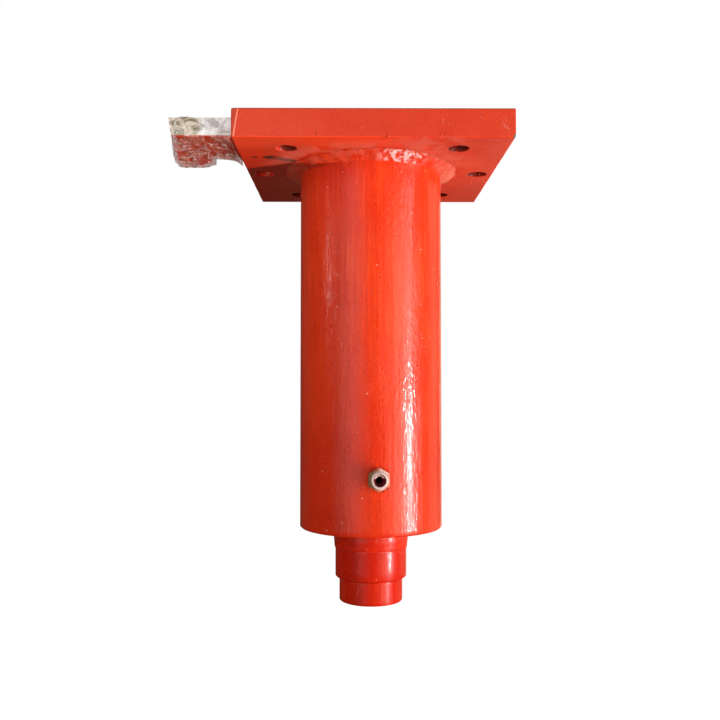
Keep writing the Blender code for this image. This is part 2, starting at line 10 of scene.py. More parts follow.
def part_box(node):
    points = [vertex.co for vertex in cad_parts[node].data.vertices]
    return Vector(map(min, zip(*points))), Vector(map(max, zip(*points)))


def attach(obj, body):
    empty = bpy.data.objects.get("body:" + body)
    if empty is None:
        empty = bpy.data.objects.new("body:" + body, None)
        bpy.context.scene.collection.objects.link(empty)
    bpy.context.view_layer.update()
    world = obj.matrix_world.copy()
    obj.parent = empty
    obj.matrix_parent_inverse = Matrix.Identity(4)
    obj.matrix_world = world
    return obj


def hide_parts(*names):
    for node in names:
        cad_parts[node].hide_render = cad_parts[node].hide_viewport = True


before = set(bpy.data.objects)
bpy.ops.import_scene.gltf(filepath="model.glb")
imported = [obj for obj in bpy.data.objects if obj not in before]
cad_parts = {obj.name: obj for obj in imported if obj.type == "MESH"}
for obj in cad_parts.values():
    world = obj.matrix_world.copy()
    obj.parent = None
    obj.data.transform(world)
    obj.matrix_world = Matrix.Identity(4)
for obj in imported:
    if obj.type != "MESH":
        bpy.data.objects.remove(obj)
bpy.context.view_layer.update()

MM = 0.001
GAP = 0.3 * MM
TAU = 2 * math.pi


def low(node):
    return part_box(node)[0]


def high(node):
    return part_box(node)[1]


# Sizes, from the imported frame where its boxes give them

PLATE_HALF = high("flange_plate").x
PLATE_UNDER = low("flange_plate").z
PLATE_TOP = high("flange_plate").z
BARREL_RADIUS = high("barrel_tube").x
BARREL_TOP = high("barrel_tube").z
BARREL_END = low("barrel_tube").z
BARREL_BORE = 65 * MM
BOLT_RADIUS = 10.5 * MM
BOLTS = [(sx * 88.5 * MM, sy * 100.5 * MM) for sx in (-1, 1) for sy in (-1, 1)]
BOLTS += [(-122 * MM, 0), (122 * MM, 0)]
GALLERY = (-58 * MM, -11.5 * MM)
GALLERY_RADIUS = 5 * MM
TUBE_RADIUS = high("stage1_tube").x
TUBE_TOP = high("stage1_tube").z
TUBE_END = low("stage1_tube").z
TUBE_BORE = 30 * MM
HEAD_RADIUS = high("stage2_head").x
HEAD_END = low("stage2_head").z
WIPER_END = low("barrel_wiper").z
PORT_TURN = math.radians(4.6)
PORT_HEIGHT = -369.3 * MM
PORT_SEAT = 78.9 * MM
PORT_TIP = 94 * MM
PORT_OUT = Vector((math.sin(PORT_TURN), -math.cos(PORT_TURN), 0))
PORT_HEX = 22 * MM  # across its flats
SPOT_FACE_RADIUS = 13.5 * MM
LOCK_HEIGHT = -423.5 * MM  # of the screw at the back that locks the gland
HEAD_LOCK_HEIGHT = -495.4 * MM

# The film's outline in plan, in millimetres
FILM_PLAN = [(-149, -115.5), (-149, -31), (-171, -36), (-175, -14), (-189, -1), (-214, -1), (-218, -5),
             (-218.5, -27), (-206.5, -115.5)]


# Meshes

def rough(point, scale, seed=0.0):
    """Smooth noise from -1 to 1 at a point, with features about 1/scale wide."""
    return noise.noise(Vector(point) * scale + Vector((seed, 1.7 * seed, 0.3 * seed)))


def put_in_scene(name, data):
    thing = bpy.data.objects.new(name, data)
    bpy.context.scene.collection.objects.link(thing)
    return thing


def mesh_from(work, name):
    """Ends the editing of a mesh."""
    mesh = bpy.data.meshes.new(name)
    work.to_mesh(mesh)
    work.free()
    return mesh


def face_outward(mesh):
    work = bmesh.new()
    work.from_mesh(mesh)
    bmesh.ops.recalc_face_normals(work, faces=work.faces)
    work.to_mesh(mesh)
    work.free()


def prism(plan, start, end):
    """An outline in plan, drawn out from one height to another."""
    work = bmesh.new()
    cap = work.faces.new([work.verts.new((x, y, start)) for x, y in plan])
    grown = bmesh.ops.extrude_face_region(work, geom=[cap])
    moved = [item for item in grown["geom"] if isinstance(item, bmesh.types.BMVert)]
    bmesh.ops.translate(work, verts=moved, vec=(0, 0, end - start))
    bmesh.ops.recalc_face_normals(work, faces=work.faces)
    return work


def add_piece(name, mesh, body, replaced=(), materials=()):
    thing = put_in_scene(name, mesh)
    for material in materials:
        mesh.materials.append(material)
    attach(thing, body)
    if replaced:
        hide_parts(*replaced)
    return thing


def smooth(mesh, angle=32):
    mesh.shade_smooth()
    mesh.set_sharp_from_angle(angle=math.radians(angle))


def densify(outline, step, closed=True):
    """Adds points along an outline's straight runs so that none is longer than a step."""
    points = []
    ends = outline[1:] + (outline[:1] if closed else [])
    for start, end in zip(outline, ends):
        count = max(1, math.ceil(math.dist(start, end) / step))
        for i in range(count):
            t = i / count
            points.append((start[0] + t * (end[0] - start[0]), start[1] + t * (end[1] - start[1])))
    if not closed:
        points.append(outline[-1])
    return points


def turned_mesh(name, outline, steps, closed=True, shift=None):
    """Turns (radius, height) points about Z. They run down the outer side; an open outline starts and ends
    on the axis. shift(point, radius) moves a point outward."""
    verts, rows = [], []
    for radius, height in outline:
        if radius < 1e-7:
            rows.append([len(verts)])
            verts.append((0, 0, height))
            continue
        rows.append(list(range(len(verts), len(verts) + steps)))
        for i in range(steps):
            angle = TAU * i / steps
            out = radius + (shift((radius * math.cos(angle), radius * math.sin(angle), height), radius)
                            if shift else 0)
            verts.append((out * math.cos(angle), out * math.sin(angle), height))
    faces = []
    for upper, lower in zip(rows, rows[1:] + (rows[:1] if closed else [])):
        for i in range(steps):
            j = (i + 1) % steps
            corners = [upper[i % len(upper)], lower[i % len(lower)], lower[j % len(lower)],
                       upper[j % len(upper)]]
            unique = list(dict.fromkeys(corners))
            if len(unique) > 2:
                faces.append(unique)
    mesh = bpy.data.meshes.new(name)
    mesh.from_pydata(verts, [], faces)
    mesh.update()
    return mesh


def turned(name, outline, steps, body, replaced=(), materials=(), closed=True, shift=None, step=None):
    if step:
        outline = densify(outline, step, closed)
    mesh = turned_mesh(name, outline, steps, closed, shift)
    smooth(mesh)
    return add_piece(name, mesh, body, replaced, materials)


def tool(mesh, start, toward):
    """A cutter whose local Z points from start toward a direction."""
    thing = put_in_scene("tool", mesh)
    thing.location = start
    thing.rotation_euler = Vector(toward).to_track_quat("Z", "Y").to_euler()
    return thing


def rod_tool(radius, length, start, toward, sides=48, material_index=0):
    work = bmesh.new()
    bmesh.ops.create_cone(work, cap_ends=True, segments=sides, radius1=radius, radius2=radius, depth=length)
    bmesh.ops.translate(work, verts=work.verts, vec=(0, 0, length / 2))
    for face in work.faces:
        face.material_index = material_index
    return tool(mesh_from(work, "rod"), start, toward)


def combine(thing, *tools, operation="DIFFERENCE"):
    """Cuts tools from a piece, or joins them on, for good."""
    for other in tools:
        boolean = thing.modifiers.new("boolean", "BOOLEAN")
        boolean.operation = operation
        boolean.solver = "EXACT"
        boolean.object = other
        apply_modifiers(thing)
        bpy.data.objects.remove(other)
    smooth(thing.data)


def apply_modifiers(thing):
    bpy.context.view_layer.update()
    evaluated = thing.evaluated_get(bpy.context.evaluated_depsgraph_get())
    mesh = bpy.data.meshes.new_from_object(evaluated)
    thing.modifiers.clear()
    thing.data = mesh


# Materials

class Nodes:
    """Makes and joins the nodes of one tree."""

    def __init__(self, tree):
        self.tree = tree

    def node(self, kind, inputs=None, **settings):
        made = self.tree.nodes.new(kind)
        for key, value in settings.items():
            setattr(made, key, value)
        for key, value in (inputs or {}).items():
            self.put(made.inputs[key], value)
        return made

    def put(self, socket, value):
        if isinstance(value, bpy.types.NodeSocket):
            self.tree.links.new(value, socket)
        elif socket.type == "RGBA" and len(value) == 3:
            socket.default_value = (*value, 1)
        else:
            socket.default_value = value


class Finish(Nodes):
    """A Principled material whose values come from noise over the piece's own coordinates, in metres."""

    def __init__(self, name):
        self.material = bpy.data.materials.new(name)
        self.material.use_nodes = True
        super().__init__(self.material.node_tree)
        self.shader = self.tree.nodes["Principled BSDF"]
        self.place = self.node("ShaderNodeTexCoord").outputs["Object"]
        self.x, self.y, self.z = self.node("ShaderNodeSeparateXYZ", {0: self.place}).outputs

    def linked(self, name):
        """What now feeds one of the shader's inputs."""
        return self.shader.inputs[name].links[0].from_socket

    def math(self, operation, *values, clamp=False):
        made = self.node("ShaderNodeMath", dict(enumerate(values)), operation=operation)
        made.use_clamp = clamp
        return made.outputs[0]

    def folded(self, operation, values):
        return functools.reduce(lambda first, second: self.math(operation, first, second), values)

    def times(self, *values):
        return self.folded("MULTIPLY", values)

    def plus(self, *values):
        return self.folded("ADD", values)

    def minus(self, first, second):
        return self.math("SUBTRACT", first, second)

    def most(self, *values):
        return self.folded("MAXIMUM", values)

    def vector(self, operation, *values, output="Vector"):
        made = self.node("ShaderNodeVectorMath", dict(enumerate(values)), operation=operation)
        return made.outputs[output]

    def stretched(self, *scales):
        """The piece's coordinates, each axis scaled on its own."""
        return self.vector("MULTIPLY", self.place, scales)

    def joined(self, x, y, z=0.0):
        return self.node("ShaderNodeCombineXYZ", {0: x, 1: y, 2: z}).outputs[0]

    def length(self, x, y):
        return self.vector("LENGTH", self.joined(x, y), output="Value")

    def noise(self, scale, detail=2.0, where=None, distortion=0.0):
        inputs = {"Vector": where or self.place, "Scale": scale, "Detail": detail, "Distortion": distortion}
        return self.node("ShaderNodeTexNoise", inputs).outputs[0]

    def cells(self, scale, where=None):
        """Distance to the nearest of a set of scattered points, and a random value for each point."""
        made = self.node("ShaderNodeTexVoronoi", {"Vector": where or self.place, "Scale": scale})
        pick = self.node("ShaderNodeSeparateColor", {0: made.outputs["Color"]}).outputs[0]
        return made.outputs["Distance"], pick

    def ramp(self, value, start, end, low=0.0, high=1.0):
        """Eases from low to high as the value goes from start to end."""
        inputs = {"Value": value, "From Min": start, "From Max": end, "To Min": low, "To Max": high}
        return self.node("ShaderNodeMapRange", inputs, interpolation_type="SMOOTHSTEP").outputs[0]

    def near(self, point, inner, outer):
        """1 within the inner distance of a point, 0 past the outer one."""
        return self.ramp(self.vector("DISTANCE", self.place, point, output="Value"), inner, outer, 1.0, 0.0)

    def line(self, start, end, width):
        """1 along a straight line between two points, fading to 0 at a width from it."""
        start, end = Vector(start), Vector(end)
        run = end - start
        away = self.vector("SUBTRACT", self.place, start)
        share = self.vector("DOT_PRODUCT", away, run / run.length_squared, output="Value")
        share = self.math("ADD", share, 0.0, clamp=True)
        nearest = self.node("ShaderNodeVectorMath", {0: run, "Scale": share}, operation="SCALE")
        nearest = nearest.outputs[0]
        return self.ramp(self.vector("DISTANCE", away, nearest, output="Value"), 0.3 * width, width, 1.0, 0.0)

    def mix(self, share, first, second):
        made = self.node("ShaderNodeMix", data_type="RGBA")
        self.put(made.inputs[0], share)
        self.put(made.inputs[6], first)
        self.put(made.inputs[7], second)
        return made.outputs[2]

    def bump(self, *factors):
        """Bumps the surface by the product of the factors, in metres, on top of any earlier bump."""
        inputs = {"Height": self.times(*factors), "Distance": 1.0, "Strength": 1.0}
        made = self.node("ShaderNodeBump", inputs)
        earlier = self.shader.inputs["Normal"].links
        if earlier:
            self.put(made.inputs["Normal"], earlier[0].from_socket)
        for normal in ("Normal", "Coat Normal"):
            self.put(self.shader.inputs[normal], made.outputs[0])

    def set(self, **values):
        for key, value in values.items():
            self.put(self.shader.inputs[key.replace("_", " ")], value)

    def paint(self, share, colour):
        """Lays a colour over the base colour as it stands."""
        self.set(Base_Color=self.mix(share, self.linked("Base Color"), colour))


ENAMEL = (0.74, 0.040, 0.0060)
ENAMEL_DEEP = (0.67, 0.027, 0.0036)
ENAMEL_ORANGE = (0.80, 0.060, 0.0085)


def enamel(name, peel=1.0, spots=1.0, runs=0.0, dull=0.0, depth=1.0, fade=0.0, coat=0.55):
    """Sprayed gloss enamel: orange peel, trapped grit, specks of dust and scuffs, and on what hung to dry,
    upright runs, whose dark and pale colour streaks are painted shade and painted highlights. depth darkens
    and reddens it as painted shade, and fade darkens it towards the barrel's lower end as painted shade."""
    f = Finish(name)
    broad = f.noise(11.0, 3.0)
    fine = f.noise(60.0, 3.0)
    # depth is painted shade: it darkens and reddens the whole colour.
    dimmed = (depth, depth ** 3, depth ** 3)
    deep = tuple(scale * part for scale, part in zip(dimmed, ENAMEL_DEEP))
    plain = tuple(scale * part for scale, part in zip(dimmed, ENAMEL))
    f.set(Base_Color=f.mix(f.ramp(broad, 0.35, 0.65), deep, plain))
    f.paint(f.ramp(fine, 0.5, 0.8, 0.0, 0.35 * depth ** 2), ENAMEL_ORANGE)
    grain = f.noise(520.0, 2.0)
    f.paint(f.ramp(grain, 0.30, 0.52, 0.30, 0.0), (0.50 * depth, 0.012, 0.001))
    f.paint(f.ramp(grain, 0.52, 0.74, 0.0, 0.30), (0.92 * depth, 0.080 * depth, 0.012 * depth))
    if runs:
        around = f.times(f.math("ARCTAN2", f.y, f.x), BARREL_RADIUS)
        streaks = f.noise(1.0, 3.0, f.joined(f.times(around, 330.0), f.times(f.z, 11.0)))
        upper = f.ramp(f.z, -320 * MM, -120 * MM, 0.30, 1.0)
        # Painted shade and painted highlights: dark and pale upright streaks in the colour, stronger towards
        # the top.
        painted_shade_streak = f.times(upper, f.ramp(streaks, 0.34, 0.48, 0.26, 0.0))
        painted_highlight_streak = f.times(upper, f.ramp(streaks, 0.52, 0.68, 0.0, 0.34))
        f.paint(painted_shade_streak, (0.50 * depth, 0.014, 0.002))
        f.paint(painted_highlight_streak, (0.90 * depth, 0.085 * depth, 0.014 * depth))
    # fade is painted shade: darker towards the barrel's lower end.
    if fade:
        darker = f.ramp(f.z, -150 * MM, -430 * MM)
        f.paint(f.times(darker, fade), (0.30, 0.004, 0.0))

    dust, pick = f.cells(240.0)
    speck = f.times(f.ramp(dust, 0.14, 0.26, 1.0, 0.0), f.ramp(pick, 0.955, 0.965))
    f.paint(f.times(speck, 0.6 * spots), (0.14, 0.016, 0.010))
    pale, pick = f.cells(190.0, f.stretched(1.0, 1.07, 0.93))
    chalk = f.times(f.ramp(pale, 0.10, 0.20, 1.0, 0.0), f.ramp(pick, 0.95, 0.97))
    f.paint(f.times(chalk, 0.45 * spots), (0.85, 0.40, 0.32))

    scuff = f.noise(26.0, 4.0, f.stretched(1.0, 1.0, 0.35), distortion=1.4)
    scratch = f.math("ABSOLUTE", f.minus(scuff, 0.5))
    scratch = f.times(f.ramp(scratch, 0.0, 0.0040, 1.0, 0.0), f.ramp(f.noise(17.0, 1.0), 0.60, 0.70))
    f.paint(f.times(scratch, 0.35), (0.80, 0.22, 0.15))

    shine = f.ramp(f.noise(34.0, 3.0), 0.3, 0.75, 0.27 + dull, 0.36 + dull)
    clear = f.ramp(f.noise(45.0, 3.0), 0.3, 0.75, 0.06 + dull, 0.12 + dull)
    f.set(Roughness=shine, IOR=1.5, Specular_IOR_Level=0.16 + 0.47 * coat, Coat_Weight=coat,
          Coat_Roughness=f.plus(clear, f.times(scratch, 0.2)))

    f.bump(f.noise(420.0, 1.0, f.stretched(1.0, 1.0, 0.4)), 95e-6 * peel)
    f.bump(f.noise(240.0, 1.0, f.stretched(1.0, 1.0, 0.5)), 70e-6 * peel)
    f.bump(f.noise(130.0, 2.0), 70e-6 * peel)
    grit, pick = f.cells(165.0)
    pimple = f.times(f.ramp(grit, 0.0, 0.26, 1.0, 0.0), f.ramp(pick, 0.72, 0.82))
    cluster = f.ramp(f.noise(16.0, 2.0), 0.50, 0.62)
    f.bump(pimple, cluster, 700e-6 * spots)
    if runs:
        for share, rise, depth_of_run in ((170.0, 5.0, 150e-6), (420.0, 9.0, 34e-6), (60.0, 14.0, 240e-6)):
            where = f.joined(f.times(around, share), f.times(f.z, rise))
            f.bump(f.noise(1.0, 2.0, where), depth_of_run * runs)
        sandy = f.ramp(f.z, -230 * MM, -70 * MM)
        sandy = f.times(sandy, f.ramp(f.noise(14.0, 2.0), 0.38, 0.62, 0.25, 1.0))
        f.bump(f.noise(330.0, 2.0), sandy, 240e-6)
    return f


def metal(name, colour, roughness, lines=0.0, metallic=1.0, stain=None):
    """Bare or plated metal with a fine lay of tool marks round the axis and faint stains."""
    f = Finish(name)
    patch = f.noise(40.0, 4.0)
    dark = tuple(0.72 * part for part in colour)
    base = f.mix(f.ramp(patch, 0.3, 0.7), dark, colour)
    if stain:
        base = f.mix(f.ramp(f.noise(90.0, 5.0), 0.56, 0.74, 0.0, 0.6), base, stain)
    rough_value = f.ramp(f.noise(55.0, 3.0), 0.3, 0.7, 0.8 * roughness, 1.3 * roughness)
    f.set(Base_Color=base, Roughness=rough_value, Metallic=metallic)
    if lines:
        f.bump(f.noise(1.0, 2.0, f.stretched(20.0, 20.0, 2600.0)), lines)
    f.bump(f.noise(420.0, 2.0), 4e-6)
    return f


def rubber(name, colour):
    """Moulded rubber with a fine grain."""
    f = Finish(name)
    f.set(Base_Color=f.mix(f.noise(120.0, 3.0), colour, tuple(2.2 * part for part in colour)),
          Roughness=f.ramp(f.noise(70.0, 3.0), 0.3, 0.7, 0.45, 0.7))
    f.bump(f.noise(900.0, 2.0), 12e-6)
    return f.material


def plastic(name, colour, roughness):
    """Turned plastic with the tool's fine rings."""
    f = Finish(name)
    pale = tuple(min(1.0, 1.25 * part) for part in colour)
    f.set(Base_Color=f.mix(f.ramp(f.noise(160.0, 4.0), 0.35, 0.65), colour, pale),
          Roughness=f.ramp(f.noise(80.0, 2.0), 0.3, 0.7, 0.8 * roughness, 1.2 * roughness))
    f.bump(f.noise(1.0, 2.0, f.stretched(60.0, 60.0, 1500.0)), 8e-6)
    return f.material


# Knocks on the plate's front face, as (start, end, width) in millimetres
FRONT_MARKS = [
    ((68.2, -140, -11), (68.6, -140, -15.0), 0.7),
    ((128.0, -140, -16.5), (132.5, -140, -20.5), 0.8),
    ((104.0, -140, -8.2), (105.5, -140, -9.0), 0.6),
]

# Dirt by the front-left bolt hole, on the underside, as (x, y, reach) in millimetres
DIRT_SPOTS = [(-109, -69, 10), (-102, -66, 9), (-90, -58, 10), (-96, -61, 8), (-125, -70, 5), (-84, -52, 7)]


def flange_enamel():
    """Enamel with the marks of a welded and handled plate: a ground front-left edge with a painted highlight
    along it, knocks on the front, and underneath dull paint with dirt, haze and dry spray, the dry spray's
    pale colour being a painted sheen. As painted light and shade, it is brighter at the underside's front
    left, dimmer at its rear left, and dark along the top rim, and stays so in any light."""
    f = enamel("flange_enamel", peel=1.2, spots=1.0)
    shine = f.linked("Roughness")
    under = f.ramp(f.z, PLATE_UNDER + 0.8 * MM, PLATE_UNDER + 0.2 * MM)
    clear = f.linked("Coat Roughness")
    f.set(Coat_Weight=f.ramp(under, 0.0, 1.0, 0.50, 0.06),
          Coat_Roughness=f.plus(clear, f.times(under, 0.24)))
    f.paint(f.ramp(under, 0.0, 1.0, 0.45, 0.0), (0.50, 0.060, 0.034))

    # Painted light: the underside is brighter at its front left.
    bright = f.times(f.ramp(f.y, -92 * MM, -122 * MM), f.ramp(f.x, 60 * MM, -20 * MM))
    f.paint(f.times(bright, under, 0.75), (0.98, 0.070, 0.018))
    # Painted shade: the underside is dimmer at its rear left.
    painted_underside_shade = f.times(f.ramp(f.x, -30 * MM, -90 * MM), f.ramp(f.y, -84 * MM, -50 * MM))
    f.paint(f.times(painted_underside_shade, under, 0.42), (0.30, 0.006, 0.002))
    # Painted shade: dark along the top rim.
    rim = f.times(f.ramp(f.z, -1.3 * MM, -0.6 * MM), f.ramp(f.z, -0.04 * MM, -0.2 * MM))
    f.paint(f.times(rim, 0.8), (0.22, 0.010, 0.006))

    haze = f.near((-88 * MM, -103 * MM, PLATE_UNDER), 6 * MM, 36 * MM)
    haze = f.times(haze, under, f.ramp(f.noise(30.0, 4.0), 0.35, 0.7, 0.2, 0.8))
    f.paint(f.times(haze, 0.35), (0.20, 0.07, 0.05))

    dirt = f.most(*[f.near((x * MM, y * MM, PLATE_UNDER), 0.3 * reach * MM, reach * MM)
                    for x, y, reach in DIRT_SPOTS])
    dirt = f.times(dirt, under, f.ramp(f.noise(150.0, 4.0), 0.34, 0.50))
    f.paint(dirt, (0.020, 0.008, 0.007))

    # Dry spray, real in its roughness and bumps; its pale colour is a painted sheen.
    dry = f.times(f.ramp(f.length(f.x, f.y), 140 * MM, 108 * MM), f.ramp(f.y, -20 * MM, -70 * MM))
    dry = f.most(dry, f.near((60 * MM, -110 * MM, PLATE_UNDER), 18 * MM, 56 * MM))
    dry = f.times(dry, under, f.ramp(f.noise(48.0, 3.0), 0.36, 0.6))
    f.paint(f.times(dry, 0.34), (0.80, 0.24, 0.16))
    shine = f.plus(shine, f.times(dry, 0.16), f.times(under, 0.12))
    # Painted highlight along the ground front-left edge.
    ground_edge_highlight = f.line((-132.8 * MM, -PLATE_HALF, PLATE_TOP), (-137.4 * MM, -PLATE_HALF, PLATE_UNDER),
                         0.9 * MM)
    f.paint(f.times(ground_edge_highlight, 0.75), (0.92, 0.34, 0.22))
    knocks = f.most(*[f.line(MM * Vector(start), MM * Vector(end), width * MM)
                      for start, end, width in FRONT_MARKS])
    f.paint(f.times(knocks, 0.30), (0.86, 0.30, 0.20))
    f.set(Roughness=shine)
    f.bump(knocks, 260e-6)
    f.bump(f.noise(700.0, 2.0), dry, 420e-6)
    f.bump(f.noise(1.0, 3.0, f.stretched(14.0, 260.0, 260.0)), 22e-6, under)
    return f.material


def hole_enamel():
    """Painted shade in the bolt holes: dark enamel, but plain red enamel in the mid-left one and left of the
    front-left one, with painted glints there.
    """
    f = metal("bolt_hole_painted_shade", (0.20, 0.012, 0.006), 0.40, metallic=0.0, stain=(0.05, 0.012, 0.010))
    # Painted shade: the holes are dark, but for plain red enamel in two places, which carry painted glints.
    unshaded_patch = f.near((-124 * MM, 2 * MM, PLATE_UNDER), 12 * MM, 17 * MM)
    unshaded_patch = f.most(unshaded_patch, f.near((-98 * MM, -100 * MM, PLATE_UNDER), 3 * MM, 12 * MM))
    painted_glint = f.times(unshaded_patch, f.ramp(f.noise(260.0, 2.0), 0.58, 0.66))
    f.paint(unshaded_patch, (0.74, 0.035, 0.008))
    f.paint(f.times(painted_glint, 0.7), (0.95, 0.45, 0.40))
    return f.material


def weld_enamel():
    """Enamel over the weld: dry and frosted where the ripples are sharp, to the right of the front, with
    painted glints laid pale on the colour there.
    """
    f = enamel("weld_enamel", peel=2.0, spots=0.8)
    shine = f.ramp(f.noise(70.0, 3.0), 0.3, 0.7, 0.30, 0.44)
    misty = f.ramp(f.noise(90.0, 4.0), 0.36, 0.62, 0.0, 0.34)
    misty = f.times(misty, f.ramp(f.length(f.x, f.y), 84 * MM, 98 * MM, 0.5, 1.0))
    f.paint(misty, (0.76, 0.20, 0.13))
    f.set(Coat_Weight=0.30)
    dry_spray_and_glints = f.near((34 * MM, -86 * MM, PLATE_UNDER - 6 * MM), 14 * MM, 34 * MM)
    dry_spray_and_glints = f.times(dry_spray_and_glints, f.ramp(f.noise(240.0, 3.0, f.stretched(1.0, 0.45, 0.7)), 0.44, 0.60))
    # Painted glints: pale colour where the weld is frosted; its bumps are real.
    f.paint(f.times(dry_spray_and_glints, 0.80), (0.96, 0.66, 0.62))
    f.set(Roughness=shine)
    f.bump(dry_spray_and_glints, 240e-6)
    f.bump(f.noise(420.0, 3.0), 600e-6)
    return f.material


def painted_tube():
    """Ground steel above, enamel where the retracted tube shows below the wiper. The enamel's bumps are left
    on the steel too."""
    # depth=0.62 darkens and reddens the tube's enamel as painted shade.
    f = enamel("stage_enamel", peel=1.4, spots=0.8, depth=0.62, coat=0.30)
    colour = f.linked("Base Color")
    shine = f.linked("Roughness")
    edge = f.plus(f.z, f.times(f.minus(f.noise(130.0, 3.0), 0.5), 0.9 * MM))
    paint = f.ramp(edge, WIPER_END + 0.1 * MM, WIPER_END - 0.3 * MM)
    steel = f.mix(f.noise(45.0, 4.0), (0.50, 0.50, 0.51), (0.66, 0.66, 0.66))
    paint = f.times(paint, f.ramp(f.length(f.x, f.y), 33 * MM, 34 * MM))
    f.set(Base_Color=f.mix(paint, steel, colour), Metallic=f.minus(1.0, paint),
          Roughness=f.plus(shine, f.times(paint, 0.02)))
    f.bump(f.noise(1.0, 2.0, f.stretched(12.0, 12.0, 2400.0)), 2e-6)
    return f.material


def about_port(f):
    """Distance from the port's axis, how far right of it, and how far above it."""
    right = f.minus(f.x, PORT_TIP * PORT_OUT.x)
    above = f.minus(f.z, PORT_HEIGHT)
    return f.length(right, above), right, above


def port_zinc():
    """Pale zinc on the stub; the hexagon behind it is painted olive at its left as painted shade, red towards
    its right, and pale at its top and lower corners as painted highlights.
    """
    f = metal("port_zinc_plate", (0.84, 0.64, 0.57), 0.34, 5e-6, metallic=0.4, stain=(0.60, 0.40, 0.32))
    span, right, above = about_port(f)
    hexagon = f.ramp(span, 9.0 * MM, 9.5 * MM)
    side = f.plus(right, f.times(f.minus(f.noise(160.0, 3.0), 0.5), 7 * MM))
    # Painted shade in olive at the hexagon's left, red towards its right.
    shade = f.mix(f.ramp(side, -7 * MM, 2 * MM), (0.26, 0.16, 0.07), (0.84, 0.24, 0.16))
    # Painted highlights at the hexagon's top and lower corners.
    upper = f.times(f.ramp(above, 5 * MM, 9 * MM), f.ramp(side, -2 * MM, 2 * MM))
    lower = f.times(f.ramp(above, -8 * MM, -10 * MM), f.ramp(side, 0.0, 4 * MM))
    shade = f.mix(f.most(upper, lower), shade, (0.98, 0.74, 0.66))
    f.paint(hexagon, shade)
    return f.material


def port_bore():
    """Dark bore as painted shade, with a patch of painted light along the top of its cone."""
    f = metal("port_bore_painted_shade", (0.085, 0.0030, 0.007), 0.5, metallic=0.0)
    span, _, above = about_port(f)
    # Painted light along the top of the cone.
    lit = f.times(f.ramp(above, 1.9 * MM, 2.6 * MM), f.ramp(f.y, -84 * MM, -86 * MM),
                  f.ramp(span, 6.0 * MM, 5.5 * MM))
    f.paint(lit, (1.0, 0.55, 0.50))
    return f.material


def film_plastic():
    """Several turns of stretch film: milky where they bunch at the front, nearly clear underneath, with sharp
    creases. Painted highlights whiten the creases and a tracery of glints underneath, and the front is
    painted darker and lighter along its folds as painted shade and highlight."""
    f = Finish("stretch_film")
    aslant = f.node("ShaderNodeVectorRotate", {"Vector": f.place, "Angle": 0.64},
                    rotation_type="Z_AXIS").outputs[0]
    aslant = f.vector("MULTIPLY", aslant, (1.0, 0.55, 1.3))
    crease_and_highlight = f.math("ABSOLUTE", f.minus(f.noise(52.0, 3.0, aslant, distortion=1.2), 0.5))
    crease_and_highlight = f.ramp(crease_and_highlight, 0.0, 0.030, 1.0, 0.0)
    web_and_glints = f.noise(120.0, 4.0, f.stretched(1.0, 0.40, 1.0), distortion=2.0)
    fold = f.noise(75.0, 4.0, f.stretched(1.0, 0.45, 1.2), distortion=1.6)
    front = f.times(f.ramp(f.y, -112.5 * MM, -114.2 * MM), f.ramp(f.z, -21.2 * MM, -19.0 * MM))
    corners = [MM * Vector((x, y, -22)) for x, y in FILM_PLAN[1:]]
    border = f.most(*[f.line(start, end, 5 * MM) for start, end in zip(corners, corners[1:])])
    patches = f.noise(60.0, 3.0, f.stretched(1.0, 0.42, 1.0), distortion=1.0)
    cover = f.ramp(patches, 0.40, 0.62, 0.28, 0.60)
    cover = f.plus(cover, f.times(crease_and_highlight, 0.40))
    cover = f.math("ADD", cover, f.times(front, 0.55), clamp=True)
    right = f.ramp(f.plus(f.x, f.times(fold, 12 * MM)), -172 * MM, -164 * MM)
    # Painted shade and painted highlights: the front darkens and lightens along the folds.
    grey = f.mix(f.ramp(fold, 0.36, 0.60), (0.26, 0.22, 0.15), (0.70, 0.60, 0.48))
    bright = f.mix(f.ramp(fold, 0.36, 0.56), (0.66, 0.62, 0.58), (1.0, 1.0, 1.0))
    under = f.mix(f.ramp(patches, 0.40, 0.60), (0.66, 0.075, 0.035), (0.78, 0.27, 0.19))
    # Painted glints underneath.
    under = f.mix(f.ramp(web_and_glints, 0.56, 0.68, 0.0, 0.8), under, (0.95, 0.78, 0.72))
    under = f.mix(f.times(border, 0.75), under, (0.40, 0.33, 0.29))
    milky = f.mix(front, under, f.mix(right, grey, bright))
    # Painted highlights along the creases.
    milky = f.mix(f.times(crease_and_highlight, 0.7), milky, (0.95, 0.92, 0.90))
    f.set(Base_Color=milky, Roughness=f.ramp(web_and_glints, 0.3, 0.7, 0.10, 0.30), Alpha=cover, IOR=1.5)
    f.bump(crease_and_highlight, 260e-6)
    f.bump(web_and_glints, 300e-6)
    f.bump(fold, 900e-6)
    return f.material


FLANGE_PAINT = flange_enamel()
# fade darkens the barrel downward as painted shade.
BARREL_PAINT = enamel("barrel_enamel", peel=2.4, spots=1.5, runs=2.4, fade=0.36).material
WELD_PAINT = weld_enamel()
